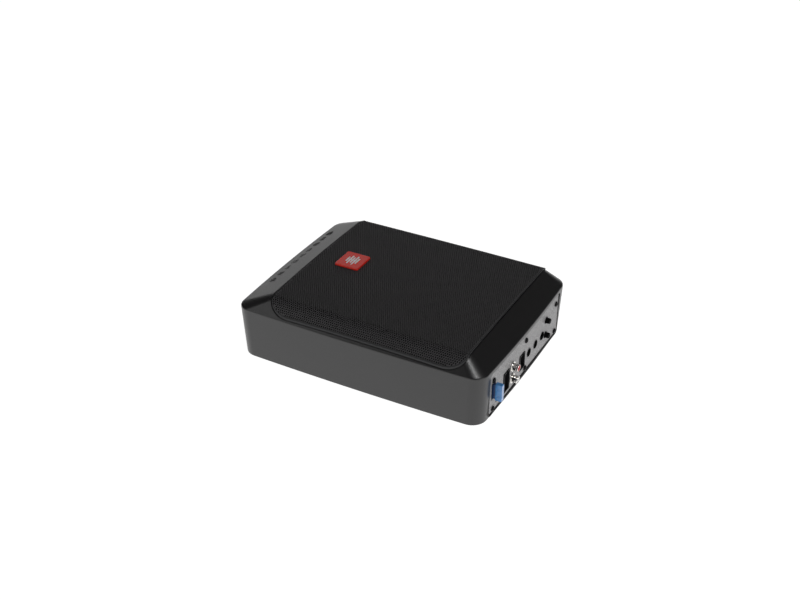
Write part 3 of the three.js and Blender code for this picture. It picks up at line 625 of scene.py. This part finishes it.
def shared_corners(x, along):
    """The cells' hexagon corners, each point once, and the six that each cell uses."""
    outer = HOLE_PITCH / math.sqrt(3)
    points, keys = [], {}
    corner_of = np.empty((len(x), 6), int)
    for cell, (cx, cy) in enumerate(zip(x, along)):
        for side, angle in enumerate(HEXAGON):
            px, py = cx + outer * math.cos(angle), cy + outer * math.sin(angle)
            key = (round(px / SAME_POINT), round(py / SAME_POINT))
            if key not in keys:
                keys[key] = len(points)
                points.append((px, py))
            corner_of[cell, side] = keys[key]
    return np.array(points), corner_of


def perforated_sheet(name, x_from, x_to):
    """The part of the sheet between two X values: a grid of hexagons, each round one hole."""
    x, along, pierced = sheet_cells(x_from, x_to)
    points, corner_of = shared_corners(x, along)
    pulled_in(points, flat_outline(HEM * 0.4))
    shared = len(points)
    rim = np.empty((len(x), 6, 2))
    rim[:, :, 0] = x[:, None] + HOLE_RADIUS * np.cos(HEXAGON)
    rim[:, :, 1] = along[:, None] + HOLE_RADIUS * np.sin(HEXAGON)
    flat = np.vstack([points, rim.reshape(-1, 2)])
    total = len(flat)
    levels = [bent(flat[:, 0], flat[:, 1], lift) for lift in (GRILLE_PROUD, GRILLE_PROUD - SHEET)]
    faces, open_edges = [], {}
    for cell in range(len(x)):
        if not pierced[cell]:
            ring = [int(corner) for corner in corner_of[cell]]
            faces.append(tuple(ring))
            faces.append(tuple(total + corner for corner in reversed(ring)))
        for side in range(6):
            after = (side + 1) % 6
            a, b = corner_of[cell, side], corner_of[cell, after]
            key = (min(a, b), max(a, b))
            open_edges[key] = None if key in open_edges else (a, b)
            if not pierced[cell]:
                continue
            c, d = shared + cell * 6 + after, shared + cell * 6 + side
            faces.append((a, b, c, d))
            faces.append((total + d, total + c, total + b, total + a))
            faces.append((d, c, total + c, total + d))
    faces += [(a, total + a, total + b, b) for a, b in filter(None, open_edges.values())]
    return make_mesh(name, np.vstack(levels), faces)


def grille_cloth():
    """The black dust cloth stretched under the perforated sheet."""
    step, lift, thickness = 3.0, GRILLE_PROUD - SHEET - 0.1, 0.25
    border = flat_outline(HEM)
    columns = np.arange(GRILLE_BOX[0], GRILLE_BOX[1] + step, step)
    rows = np.arange(border[:, 1].min(), border[:, 1].max() + step, step)
    grid = np.array([(x, along) for x in columns for along in rows])
    outside, moved = pulled_in(grid, border)
    used = np.ones(len(grid), bool)
    used[outside[moved >= step * 1.5]] = False
    faces = []
    for i in range(len(columns) - 1):
        for j in range(len(rows) - 1):
            a, b = i * len(rows) + j, (i + 1) * len(rows) + j
            corners = (a, b, b + 1, a + 1)
            if all(used[list(corners)]):
                faces.append(corners)
    cloth = make_mesh("grille_cloth", bent(grid[:, 0], grid[:, 1], lift), faces)
    cloth.modifiers.new("thick", "SOLIDIFY").thickness = thickness * MM
    apply_modifiers(cloth)
    return shade(cloth)


def grille_hem():
    """The folded border of the sheet: a band with a rounded outer edge."""
    stations = [
        (0.0, -1.5), (0.0, -0.1), (0.1, 0.08), (0.35, 0.2),
        (HEM - 0.35, 0.2), (HEM - 0.1, 0.12), (HEM, 0.0), (HEM, -0.6),
    ]
    rings = []
    for inset, lift in stations:
        shape = grille_outline(inset)
        x, y = shape[:, 0], shape[:, 1]
        upright = (GRILLE_PROUD + lift) * np.sqrt(1 + slope_at(x, y) ** 2)
        rings.append(np.column_stack([x, y, height_at(x, y) + upright]))
    return skin("grille_hem", rings, closed=True)


# ---- casing pieces

POCKET_BOX = grown(PLATE_BOX, -6.6)
POCKET_CORNER = (20.0, 20.0)
POCKET_WALL = 2.5
BAFFLE_TOP = TOP - 15.5
BAFFLE = 4.0
FLANGE = node_box("woofer_basket")
WOOFER_X = (FLANGE[0] + FLANGE[1]) / 2
FLANGE_X, FLANGE_Y = (FLANGE[1] - FLANGE[0]) / 2, (FLANGE[3] - FLANGE[2]) / 2

PANEL = node_box("control_panel")
PANEL_FACE, PANEL_BACK = PANEL[1], PANEL[0]
OPENING = (PANEL[2] - CLEARANCE, PANEL[3] + CLEARANCE, PANEL[4] - CLEARANCE, PANEL[5] + CLEARANCE)
PANEL_RADIUS = 4.0
SEAT_GAP, SEAT_DEPTH = 1.0, 2.4  # of the groove that the grille sits in
FLANGE_OVERLAP = 9.0  # what the woofer's flange rests on, round its hole
FRAME_BACK = END_X - 13.0
LIP = 5.0
BEYOND = 20.0  # how far a cutter runs past the outside
ABOVE = TOP + BEYOND
BADGE_RADIUS = 2.5
CROSS_LENGTH, CROSS_WIDTH = 1.8, 0.42  # half sizes of a screw's recess


def oval(name, rx, ry, z0, z1):
    angles = np.linspace(0, 2 * math.pi, 96, endpoint=False)
    shape = np.column_stack([WOOFER_X + rx * np.cos(angles), ry * np.sin(angles)])
    return skin(name, [at_height(shape, z0), at_height(shape, z1)])


def housing_shell():
    y0, y1, z0, z1 = OPENING
    cavity = skin("cavity", housing_rings(WALL, 6, 8))
    wall_box, wall_corner = grown(POCKET_BOX, POCKET_WALL), [r + POCKET_WALL for r in POCKET_CORNER]
    cut(cavity, [
        prism("pocket_wall", wall_box, wall_corner, BAFFLE_TOP - BAFFLE, ABOVE, arcs=6, sides=4),
        block("end_frame", FRAME_BACK, END_X, y0 - LIP, y1 + LIP, -BEYOND, WALL_TOP),
    ])
    seat_box, seat_corner = grown(GRILLE_BOX, SEAT_GAP), [r + SEAT_GAP for r in GRILLE_CORNER]
    seat = prism("seat", seat_box, seat_corner, WALL_TOP - 5, ABOVE, GRILLE_BOW, 24, 40)
    cut(seat, [skin("lowered", [ring - (0, 0, SEAT_DEPTH) for ring in housing_rings()])])
    hole = (FLANGE_X - FLANGE_OVERLAP, FLANGE_Y - FLANGE_OVERLAP)
    inner = (y0 + LIP, y1 - LIP, z0 + LIP, z1 - LIP)
    shell = cut(skin("housing_shell", housing_rings()), [
        cavity,
        seat,
        prism("pocket", POCKET_BOX, POCKET_CORNER, BAFFLE_TOP, ABOVE, arcs=10, sides=4),
        oval("woofer_hole", *hole, BAFFLE_TOP - 8, BAFFLE_TOP + 2),
        upright_plate("opening", *OPENING, PANEL_RADIUS, PANEL_BACK - CLEARANCE, END_X + BEYOND),
        upright_plate("inner", *inner, PANEL_RADIUS, FRAME_BACK - 3, PANEL_BACK + 1),
    ])
    return shade(soften(shell, 0.45, 40), 32)


def bevel_marks():
    """Nine groups of three small raised bars, in a row on the wide bevel."""
    first, pitch, count = -51.0, 15.1, 9
    spacing, half_width, height = 2.9, 0.6, 0.28
    half_lengths = (3.1, 2.1, 2.7, 3.3, 1.7)
    x = -138.0
    slope = DROP / BLANK_END_BEVEL
    base = WALL_TOP + (x + END_X) * slope
    marks = []
    for index in range(count):
        for step in range(3):
            y = first + pitch * index + (step - 1) * spacing
            half = half_lengths[(index + 2 * step) % len(half_lengths)]
            bar = rounded_block("bar", -half, half, -half_width, half_width, -1.0, height, 0.12, 2)
            for vertex in bar.data.vertices:
                local = vertex.co / MM - MIDDLE
                lifted = Vector((x + local.x, y + local.y, base + local.x * slope + local.z))
                vertex.co = (lifted + MIDDLE) * MM
            marks.append(bar)
    return shade(join("bevel_marks", marks))


def badge():
    *box, z0, z1 = node_box("badge_plate")
    stations = [(0, z0), (0, z1 - 0.7), (0.25, z1 - 0.2), (0.8, z1), (1.7, z1), (1.95, z1 - 0.18)]
    rings = []
    for inset, z in stations:
        radius = BADGE_RADIUS - inset * 0.8
        rings.append(at_height(outline(grown(box, -inset), (radius, radius), arcs=8, sides=6), z))
    return shade(skin("badge_plate_finished", rings), 50)


def badge_mark():
    """Level bars on a thin line."""
    x, y, _ = node_centre("badge_emblem")
    top = node_box("badge_emblem")[5]
    low = top - 0.6
    half_heights = (5.0, 8.6, 6.2, 9.0, 5.6)
    pitch, wide, line = 3.0, 0.95, 0.5
    bars = [block("line", x - 2 * pitch, x + 2 * pitch, y - line, y + line, low, top - 0.05)]
    for index, half in enumerate(half_heights):
        cx = x + (index - 2) * pitch
        bars.append(rounded_block("bar", cx - wide, cx + wide, y - half, y + half, low, top, 0.2, 2))
    return shade(join("badge_mark", bars))


def screw(name, node, facing="x", head_radius=3.0, head_height=2.0):
    """A pan-head screw with a cross recess, its head facing along X, up or down."""
    x0, x1, _, _, z0, z1 = node_box(node)
    x, y, z = node_centre(node)
    tip, top, sign, centre = {
        "x": (x0, x1, 1, (0, y, z)),
        "up": (z0, z1, 1, (x, y, 0)),
        "down": (z1, z0, -1, (x, y, 0)),
    }[facing]
    seat = top - sign * head_height
    dome = [
        (head_radius * math.cos(angle), seat + sign * head_height * (0.35 + 0.65 * math.sin(angle)))
        for angle in np.radians([0, 18, 36, 54, 72])
    ]
    profile = [(0, tip), (1.1, tip + sign * 0.8), (1.5, tip + sign * 2), (1.5, seat)]
    profile += [(head_radius, seat), *dome, (0, top)]
    body = turned(name, profile[::sign], centre, "x" if facing == "x" else "z", 32)
    low, high = sorted((seat + sign * head_height * 0.3, top + sign * 2))
    arms = []
    for wide, narrow in ((CROSS_LENGTH, CROSS_WIDTH), (CROSS_WIDTH, CROSS_LENGTH)):
        if facing == "x":
            arms.append(slab("arm", low, high, y, wide, z, narrow))
        else:
            arms.append(block("arm", x - wide, x + wide, y - narrow, y + narrow, low, high))
    return shade(cut(body, arms), 35)


# ---- control panel pieces

ROTARY_CONTROLS = ("gain", "boost", "crossover")
SOCKET_DEPTH = 14.0
FUSE_CAP = 7.6  # how far the fuse's wide grip reaches back from its end
CONTROL_HOLES = {
    "gain_knob": 4.5, "boost_knob": 4.5, "crossover_knob": 4.5, "phase_button": 3.6, "mode_button": 3.6,
}
OTHER_HOLES = {"power_led": 1.6, "rca_barrel_right": 4.5, "rca_barrel_left": 4.5}
SCREW_HOLE = 1.8
SOCKET_CORNERS = {"power_socket": 1.0, "speaker_input_socket": 1.0, "fuse_holder": 0.8}


def panel_plate():
    plate = upright_plate("panel_plate", *PANEL[2:], PANEL_RADIUS, PANEL_BACK, PANEL_FACE)
    through = (PANEL_BACK - 2, PANEL_FACE + 2)
    cutters = []
    for index in range(6):
        _, y, z = node_centre(f"panel_screw_{index + 1}")
        cutters.append(rod_x("hole", y, z, SCREW_HOLE, *through, 24))
    for node, radius in (CONTROL_HOLES | OTHER_HOLES).items():
        _, y, z = node_centre(node)
        cutters.append(rod_x("hole", y, z, radius, *through))
    for node, corner in SOCKET_CORNERS.items():
        cutters.append(upright_plate("hole", *grown(node_box(node)[2:], CLEARANCE), corner, *through))
    return shade(soften(cut(plate, [join("holes", cutters)]), 0.3, 40), 35)


def panel_print():
    """Dial ticks round each rotary control, printed just off the panel."""
    turn, count, half_width = 140, 11, 0.14
    ticks = []
    for control in ROTARY_CONTROLS:
        _, y, z = node_centre(control + "_knob")
        for step in range(count):
            angle = math.radians(-turn + 2 * turn / (count - 1) * step)
            inner, outer = 5.5, (6.9 if step % 5 == 0 else 6.3)
            cos, sin = math.cos(angle), math.sin(angle)
            corners = [(inner, -half_width), (outer, -half_width), (outer, half_width), (inner, half_width)]
            flat = [(y + r * sin + w * cos, z + r * cos - w * sin) for r, w in corners]
            points = [(PANEL_FACE + lift, a, b) for lift in (-0.05, 0.05) for a, b in flat]
            faces = [(0, 1, 2, 3), (7, 6, 5, 4)]
            faces += [(i, i + 4, (i + 1) % 4 + 4, (i + 1) % 4) for i in range(4)]
            ticks.append(make_mesh("tick", points, faces))
    return join("panel_print", ticks)


def painted_shadow_band():
    """A black band that fills the step between the panel's face and the end frame, widest along the bottom
    and the far side: painted shade for the shadow lines along the panel's edge.
    """
    y0, y1, z0, z1 = OPENING
    rings = []
    for share, behind in ((0.0, None), (0.0, 0.7), (0.2, 0.3), (0.85, 0.4), (1.0, 0.8), (1.0, None)):
        near, far, low, high = (0.1 + share * width for width in (0.1, 1.5, 3.6, 0.5))
        corner = PANEL_RADIUS - 0.1 - share * 0.5
        shape = outline((y0 + near, y1 - far, z0 + low, z1 - high), (corner, corner), arcs=8, sides=8)
        y, z = shape.T
        wall = END_X - END_BOW * (y / (SIDE_Y - CORNER_RADIUS)) ** 2 - DRAFT * (1 - z / WALL_TOP)
        face = np.full(len(shape), PANEL_FACE + 0.05)
        front = face if behind is None else np.maximum(wall - behind, face + 0.3)
        rings.append(np.column_stack([front, shape]))
    return shade(skin("painted_shadow_band", rings, closed=True), 50)


def bushings():
    """Black collars that line the panel's control holes."""
    collars = []
    for node, hole in CONTROL_HOLES.items():
        _, y, z = node_centre(node)
        inner = hole - 0.22
        profile = [
            (inner, PANEL_BACK + 0.3), (hole - 0.03, PANEL_BACK + 0.3), (hole - 0.03, PANEL_FACE + 0.02),
            (hole + 0.5, PANEL_FACE + 0.05), (hole + 0.5, PANEL_FACE + 0.3), (hole + 0.3, PANEL_FACE + 0.45),
            (inner, PANEL_FACE + 0.4),
        ]
        collars.append(tube("collar", profile, (0, y, z), 40))
    return shade(join("bushings", collars), 40)


def socket_shell(name, node):
    """A moulded socket with rounded rim, keyed by a notch in its upper wall."""
    wall, notch = 1.3, 3.0
    x0, x1, *sides = node_box(node)
    _, y, _ = node_centre(node)
    top = sides[3]
    body = upright_plate(name, *sides, 0.9, x0, x1, 5)
    mouth = upright_plate("mouth", *grown(sides, -wall), 0.6, x1 - SOCKET_DEPTH, x1 + 2, 4)
    key = block("key", x1 - 6, x1 + 2, y - notch / 2, y + notch / 2, top - wall - 0.3, top + 2)
    return shade(soften(cut(body, [mouth, key]), 0.2, 40), 35)


def blades(name, node, places, half_y, half_z):
    """Flat contacts standing on a socket's floor. places are (y, z) from its centre."""
    length = 8.0
    floor = node_box(node)[1] - SOCKET_DEPTH
    _, y, z = node_centre(node)
    pins = []
    for dy, dz in places:
        pin = slab("pin", floor - 0.5, floor + length, y + dy, half_y, z + dz, half_z)
        pins.append(soften(pin, 0.15, segments=1))
    return shade(join(name, pins))


def fuse_holder():
    x0, x1, *sides = node_box("fuse_holder")
    _, y, z = node_centre("fuse_holder")
    body = upright_plate("fuse_holder_finished", *sides, 0.8, x0, x1, 5)
    slot = slab("slot", x1 - 9, x1 + 2, y, 0.75, z, 9)
    return shade(soften(cut(body, [slot]), 0.2, 40), 35)


def fuse_slot(x_from, x_to):
    """The space round the blades, cut out of both halves of the fuse's body."""
    _, y, z = node_centre("fuse_body")
    return slab("slot", x_from, x_to, y, 0.65, z, 8.6)


def fuse_waist():
    """The lower half of a blade fuse's body, with the slot that its blades stand in. Its darker blue is
    painted shade for the body's own shadow.
    """
    x0, x1, y0, y1, z0, z1 = node_box("fuse_body")
    end = x1 - FUSE_CAP - 0.05
    waist = rounded_block("fuse_waist", x0, end, y0 + 0.5, y1 - 0.5, z0 + 0.8, z1 - 0.8, 0.5)
    return shade(cut(waist, [fuse_slot(x0 - 1, x1)]), 35)


def fuse_cap():
    """The wide grip of a blade fuse, with two test windows and finger grooves."""
    _, x1, y0, y1, z0, z1 = node_box("fuse_body")
    _, y, z = node_centre("fuse_body")
    back = x1 - FUSE_CAP
    cap = rounded_block("fuse_cap", back, x1, y0, y1, z0 - 0.7, z1 + 0.7, 0.7, 4)
    cutters = [fuse_slot(back - 1, x1 - 2)]
    for side in (-1, 1):
        cutters.append(slab("window", x1 - 1.1, x1 + 1, y, 0.9, z + side * 5.4, 1.5))
    for side in (-1, 1):
        for third in (-1, 1):
            cutters.append(slab("groove", back + 2, back + 5.2, y + side * 2.55, 0.4, z + third * 4.2, 1.0))
    return shade(soften(cut(cap, [join("cutters", cutters)]), 0.15, 40), 35)


def fuse_end_highlight():
    """A pale field over the whole of the fuse's end: a painted highlight for the end face where the light
    falls on it.
    """
    x1 = node_box("fuse_body")[1]
    _, y, z = node_centre("fuse_body")
    return shade(soften(slab("fuse_end_highlight", x1 - 0.15, x1 + 0.12, y, 2.3, z, 9.4), 0.1, segments=1))


def fuse_element():
    """Two blades joined inside the body by a thin link."""
    x0, x1, y0, y1, z0, z1 = node_box("fuse_element")
    strip = block("fuse_element_finished", x0, x1, y0, y1, z0, z1)
    z = (z0 + z1) / 2
    half_gap = 3.3
    cut(strip, [
        block("between", x0 - 1, x1 - 3.8, y0 - 1, y1 + 1, z - half_gap, z + half_gap),
        block("above", x1 - 2.6, x1 + 1, y0 - 1, y1 + 1, z - half_gap, z + half_gap),
    ])
    return shade(soften(strip, 0.12, 40, 1), 35)


def rca_barrel(name, node):
    x0, x1, centre, radius = node_axis(node)
    bore, collar = radius - 0.6, radius + 1.7
    profile = [
        (bore, x0), (radius, x0), (radius, PANEL_FACE), (collar, PANEL_FACE + 0.05),
        (collar, PANEL_FACE + 1.0), (radius + 1.4, PANEL_FACE + 1.3), (radius, PANEL_FACE + 1.35),
        (radius, x1 - 2.4), (radius - 0.12, x1 - 2.2), (radius - 0.12, x1 - 1.8), (radius, x1 - 1.6),
        (radius, x1 - 0.5), (radius - 0.15, x1 - 0.1), (radius - 0.35, x1), (bore, x1 - 0.1),
    ]
    return shade(tube(name, profile, centre), 40)


def rca_insulator(name, node, barrel):
    x0, _, centre, node_radius = node_axis(node)
    front = node_box(barrel)[1] - 0.25
    radius, bore = node_radius + 0.25, 1.7
    profile = [
        (bore, x0 + 2), (radius, x0 + 2), (radius, front - 0.3), (radius - 0.3, front), (2.1, front),
        (bore, front - 0.4),
    ]
    return shade(tube(name, profile, centre), 40)


def rca_contact(name, node):
    """The metal sleeve inside a jack that takes the plug's pin."""
    x0, x1, centre, _ = node_axis(node)
    profile = [(1.1, x0 + 2), (1.6, x0 + 2), (1.6, x1 - 1.6), (1.45, x1 - 1.3), (1.1, x1 - 1.3)]
    return shade(tube(name, profile, centre, 24), 40)


def control_knob(name, node):
    """A short knob with a fluted edge, a shallow dish and a pointer slot, on its shaft."""
    x0, x1, centre, radius = node_axis(node)
    _, y, z = centre
    shaft, back, flute_count = 3.0, x1 - 10, 18
    profile = [
        (0, x0), (shaft - 0.1, x0), (shaft, x0 + 0.3), (shaft, back), (radius - 0.3, back),
        (radius, back + 0.3), (radius, x1 - 0.5), (radius - 0.15, x1 - 0.15), (radius - 0.5, x1),
        (radius - 1.1, x1), (radius - 1.4, x1 - 0.25), (0, x1 - 0.35),
    ]
    knob = turned(name, profile, centre, "x", 64)
    flutes = []
    for step in range(flute_count):
        angle = 2 * math.pi * step / flute_count
        at_y, at_z = y + (radius + 0.15) * math.cos(angle), z + (radius + 0.15) * math.sin(angle)
        flutes.append(rod_x("flute", at_y, at_z, 0.35, x1 - 4, x1 + 1, 10))
    cut(knob, [join("flutes", flutes), slab("slot", x1 - 1.3, x1 + 1, y, 0.45, z, 2.9)])
    return shade(knob, 35)


def pointer(name, node):
    """The white line in a knob's slot."""
    x1 = node_box(node)[1]
    _, y, z = node_centre(node)
    return rounded_block(name, x1 - 1.25, x1 - 0.75, y - 0.3, y + 0.3, z + 0.3, z + 2.7, 0.1, 1)


def push_button(name, node):
    """A domed cap on its stem, with a collar that stays behind the panel."""
    x0, x1, centre, _ = node_axis(node)
    stem, cap, collar = 1.5, 3.2, 4.2
    collar_front = PANEL_BACK - 2 * CLEARANCE
    collar_back = collar_front - 1.5
    profile = [
        (0, x0), (stem, x0), (stem, collar_back), (collar - 0.2, collar_back), (collar, collar_back + 0.2),
        (collar, collar_front - 0.2), (collar - 0.2, collar_front), (cap, collar_front), (cap, x1 - 0.9),
        (cap - 0.12, x1 - 0.45), (cap - 0.4, x1 - 0.12), (cap - 0.8, x1), (cap - 1.2, x1 - 0.05),
        (0, x1 - 0.45),
    ]
    return shade(turned(name, profile, centre), 40)


def indicator():
    x0, x1, centre, _ = node_axis("power_led")
    profile = [(0, x0), (1.4, x0), (1.4, x1 - 0.9), (1.25, x1 - 0.45), (0.9, x1 - 0.15), (0, x1)]
    return shade(turned("indicator_lens", profile, centre, "x", 24), 50)


def foot(name, node):
    x0, x1, _, _, z0, z1 = node_box(node)
    x, y, _ = node_centre(node)
    radius = (x1 - x0) / 2
    profile = [
        (0, z0 + 0.3), (radius - 2.6, z0 + 0.3), (radius - 2.2, z0), (radius - 0.5, z0), (radius, z0 + 0.5),
        (radius, z1), (0, z1),
    ]
    return shade(turned(name, profile, (x, y, 0), "z"), 40)


# ---- stage

CAMERA_PLACE = (548.13, -1021.72, 779.75)
CAMERA_DIRECTION = (-0.40334, 0.74483, -0.53154)
CAMERA_LENS = 55.74  # on the usual sensor, 36 wide
FLOOR_HALF = 9.0  # metres
SKY_TONES = ((0.01, 1.0), (0.025, 0.36), (0.07, 0.07), (0.16, 0.03), (1.0, 0.02))  # (height, brightness)
SOFTBOXES = {  # place and size in metres, and power
    "overhead": ((0.68, -0.44, 1.7), 0.42, 9),
    "front_left": ((-1.2, -1.3, 0.95), 0.9, 2.6),
    "rear": ((-0.85, 1.6, 0.85), 1.0, 1.2),
    "panel_side": ((1.5, -0.5, 0.5), 0.8, 2.6),
}


def facing(direction):
    return Vector(direction).to_track_quat("-Z", "Y").to_euler()


def add_camera(scene):
    x, y, z = CAMERA_PLACE
    camera = new_object("camera", bpy.data.cameras.new("camera"))
    camera.data.lens = CAMERA_LENS
    camera.data.clip_start = 0.01
    camera.location = ((x + CENTRE_X) * MM, y * MM, z * MM)
    camera.rotation_euler = facing(CAMERA_DIRECTION)
    scene.camera = camera


def add_floor():
    """A pale floor that gives off most of its own brightness."""
    data = bpy.data.meshes.new("floor")
    corners = [(x * FLOOR_HALF, y * FLOOR_HALF, 0) for x, y in ((-1, -1), (1, -1), (1, 1), (-1, 1))]
    data.from_pydata(corners, [], [(0, 1, 2, 3)])
    paper = Surface("floor_paper", (0.3, 0.3, 0.3), 0.8, Emission_Color=(1, 1, 1, 1), Emission_Strength=0.98)
    paper.tint(paper.noise(300, 2), 0.01)
    data.materials.append(paper.material)
    new_object("floor", data)


def add_world(scene):
    """The sky that lights the object, pale at the horizon and dark above. The camera sees plain white."""
    world = bpy.data.worlds.new("studio")
    scene.world = world
    world.use_nodes = True
    nodes, links = world.node_tree.nodes, world.node_tree.links
    place = nodes.new("ShaderNodeTexCoord")
    split = nodes.new("ShaderNodeSeparateXYZ")
    ramp = nodes.new("ShaderNodeValToRGB")
    links.new(place.outputs["Generated"], split.inputs["Vector"])
    links.new(split.outputs["Z"], ramp.inputs["Fac"])
    while len(ramp.color_ramp.elements) < len(SKY_TONES):
        ramp.color_ramp.elements.new(0.5)
    for element, (height, tone) in zip(ramp.color_ramp.elements, SKY_TONES):
        element.position = height
        element.color = (tone, tone, tone, 1)
    links.new(ramp.outputs["Color"], nodes["Background"].inputs["Color"])
    seen = nodes.new("ShaderNodeLightPath")
    backdrop = nodes.new("ShaderNodeBackground")
    choice = nodes.new("ShaderNodeMixShader")
    backdrop.inputs["Color"].default_value = (1, 1, 1, 1)
    links.new(seen.outputs["Is Camera Ray"], choice.inputs[0])
    links.new(nodes["Background"].outputs[0], choice.inputs[1])
    links.new(backdrop.outputs[0], choice.inputs[2])
    links.new(choice.outputs[0], nodes["World Output"].inputs["Surface"])


def add_softboxes():
    """Square lights that point at the object and that the camera doesn't see."""
    for name, (place, size, power) in SOFTBOXES.items():
        light = bpy.data.lights.new(name, "AREA")
        light.energy = power
        light.size = size
        lamp = new_object(name, light)
        lamp.location = place
        lamp.rotation_euler = facing(-Vector(place))
        lamp.visible_camera = False


# ---- assembly


def coated(obj, surface):
    obj.data.materials.clear()
    obj.data.materials.append(surface.material)


def place_piece(obj, surface, slot, *nodes, body="housing"):
    """Gives a piece its material and its body, and hides the CAD nodes that it stands for. The slot is not
    used.
    """
    coated(obj, surface)
    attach(obj, body)
    if nodes:
        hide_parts(*nodes)


def finish_node(build, node, surface, slot, *values, body="housing"):
    """Builds the piece that replaces one CAD node, and places it."""
    place_piece(build(node + "_finished", node, *values), surface, slot, node, body=body)


scene = bpy.context.scene
scene.view_settings.view_transform = "Standard"
add_camera(scene)
add_floor()
add_world(scene)
add_softboxes()

plastic = housing_plastic()
coat = grille_coat()
black = moulded_plastic("black_plastic", (0.006, 0.006, 0.007), 0.5, Specular_IOR_Level=0.2)
screw_metal = black_zinc()
dull_black = control_black()
ink = gloss_plastic("white_ink", (0.95, 0.95, 0.94), 0.35)
badge_red = gloss_plastic("badge_red", (0.9, 0.035, 0.02), 0.24)
# The fuse's blue made darker for its lower half: painted shade.
fuse_shade_blue = gloss_plastic("fuse_waist_painted_shade", (0.02, 0.05, 0.15), 0.3)
# The pale blue on the fuse's end is a painted highlight.
highlight_blue = gloss_plastic("painted_highlight_blue", (0.3, 0.42, 0.68), 0.35)
tin = bright_metal("tinned_metal", (0.68, 0.68, 0.7), 0.28)
nickel = bright_metal("nickel_plate", (0.75, 0.73, 0.7), 0.14, 0.8, (1, 6, 6))
red = gloss_plastic("jack_red", (0.58, 0.02, 0.015), 0.3)
white = gloss_plastic("jack_white", (0.82, 0.82, 0.8), 0.3)
pads = rubber()

place_piece(housing_shell(), plastic, "housing_plastic", "enclosure_shell")
place_piece(bevel_marks(), plastic, "housing_plastic")
place_piece(perforated_sheet("grille_sheet_left", -math.inf, GRILLE_MIDDLE), coat, "black_steel", "grille")
place_piece(perforated_sheet("grille_sheet_right", GRILLE_MIDDLE, math.inf), coat, "black_steel")
place_piece(shade(grille_hem(), 40), hem_painted_shade(), "black_steel")
place_piece(grille_cloth(), cloth_weave(), "black_steel")
place_piece(badge(), badge_red, "badge_red", "badge_plate")
place_piece(badge_mark(), ink, "badge_white", "badge_emblem")

place_piece(panel_plate(), panel_coat(), "panel_metal", "control_panel")
place_piece(panel_print(), dull_black, "black_plastic")
# The black band round the panel is painted shade for the shadow lines under the end frame and along the
# bottom.
place_piece(painted_shadow_band(), dull_black, "black_plastic")
place_piece(bushings(), dull_black, "black_plastic")
for index in range(1, 7):
    finish_node(screw, f"panel_screw_{index}", screw_metal, "dark_screws")
for index in range(1, 5):
    finish_node(screw, f"base_screw_{index}", screw_metal, "dark_screws", "down", 3.3, 1.1)
    finish_node(screw, f"woofer_screw_{index}", screw_metal, "dark_screws", "up")
    finish_node(foot, f"foot_{index}", pads, "rubber_feet")

place_piece(fuse_holder(), black, "black_plastic", "fuse_holder")
place_piece(fuse_waist(), fuse_shade_blue, "fuse_blue", "fuse_body", body="fuse")
place_piece(fuse_cap(), fuse_plastic(), "fuse_blue", body="fuse")
place_piece(fuse_end_highlight(), highlight_blue, "fuse_blue", body="fuse")
place_piece(fuse_element(), tin, "fuse_metal", "fuse_element", body="fuse")

finish_node(socket_shell, "power_socket", black, "black_plastic")
speaker_socket = socket_shell("speaker_socket_finished", "speaker_input_socket")
place_piece(speaker_socket, black, "black_plastic", "speaker_input_socket")
power_pins = [(0, dz) for dz in (-7, 0, 7)]
speaker_pins = [(dy, dz) for dy in (-2.4, 2.4) for dz in (-4.6, 4.6)]
place_piece(blades("power_contacts", "power_socket", power_pins, 0.4, 2.2), tin, "fuse_metal")
place_piece(blades("speaker_contacts", "speaker_input_socket", speaker_pins, 0.45, 1.4), tin, "fuse_metal")
for side, tone, surface in (("right", "red", red), ("left", "white", white)):
    barrel = f"rca_barrel_{side}"
    finish_node(rca_barrel, barrel, nickel, "nickel")
    finish_node(rca_insulator, f"rca_insulator_{tone}", surface, f"rca_{tone}", barrel)
    place_piece(rca_contact(f"rca_contact_{side}", barrel), tin, "nickel")

for control in ROTARY_CONTROLS:
    node, body = control + "_knob", control + "_control"
    finish_node(control_knob, node, dull_black, "black_plastic", body=body)
    place_piece(pointer(control + "_pointer", node), ink, "badge_white", body=body)
for control in ("phase", "mode"):
    finish_node(push_button, control + "_button", dull_black, "black_plastic", body=control + "_control")
place_piece(indicator(), led_lens(), "led_lens", "power_led")

# The pieces whose CAD shape stays take a material of their own.
paper, copper = cone_paper(), winding_copper()
sleeve = gloss_plastic("capacitor_sleeve", (0.02, 0.02, 0.03), 0.25)
kept = {
    "base_plate": black,
    "rca_block": black,
    "phase_switch": black,
    "mode_switch": black,
    "woofer_basket": moulded_plastic("basket_paint", (0.03, 0.03, 0.03), 0.4),
    "front_pole_plate": tin,
    "back_plate_and_pole": tin,
    **{control + "_potentiometer": tin for control in ROTARY_CONTROLS},
    "magnet": ferrite(),
    "cone": paper,
    "dust_cap": paper,
    "spider": spider_cloth(),
    "surround": surround_rubber(),
    "voice_coil": copper,
    "choke_coil": copper,
    "circuit_board": circuit_laminate(),
    "heat_sink": bright_metal("heat_sink_metal", (0.6, 0.61, 0.62), 0.35),
    "capacitor_1": sleeve,
    "capacitor_2": sleeve,
}
for node, surface in kept.items():
    coated(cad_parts[node], surface)
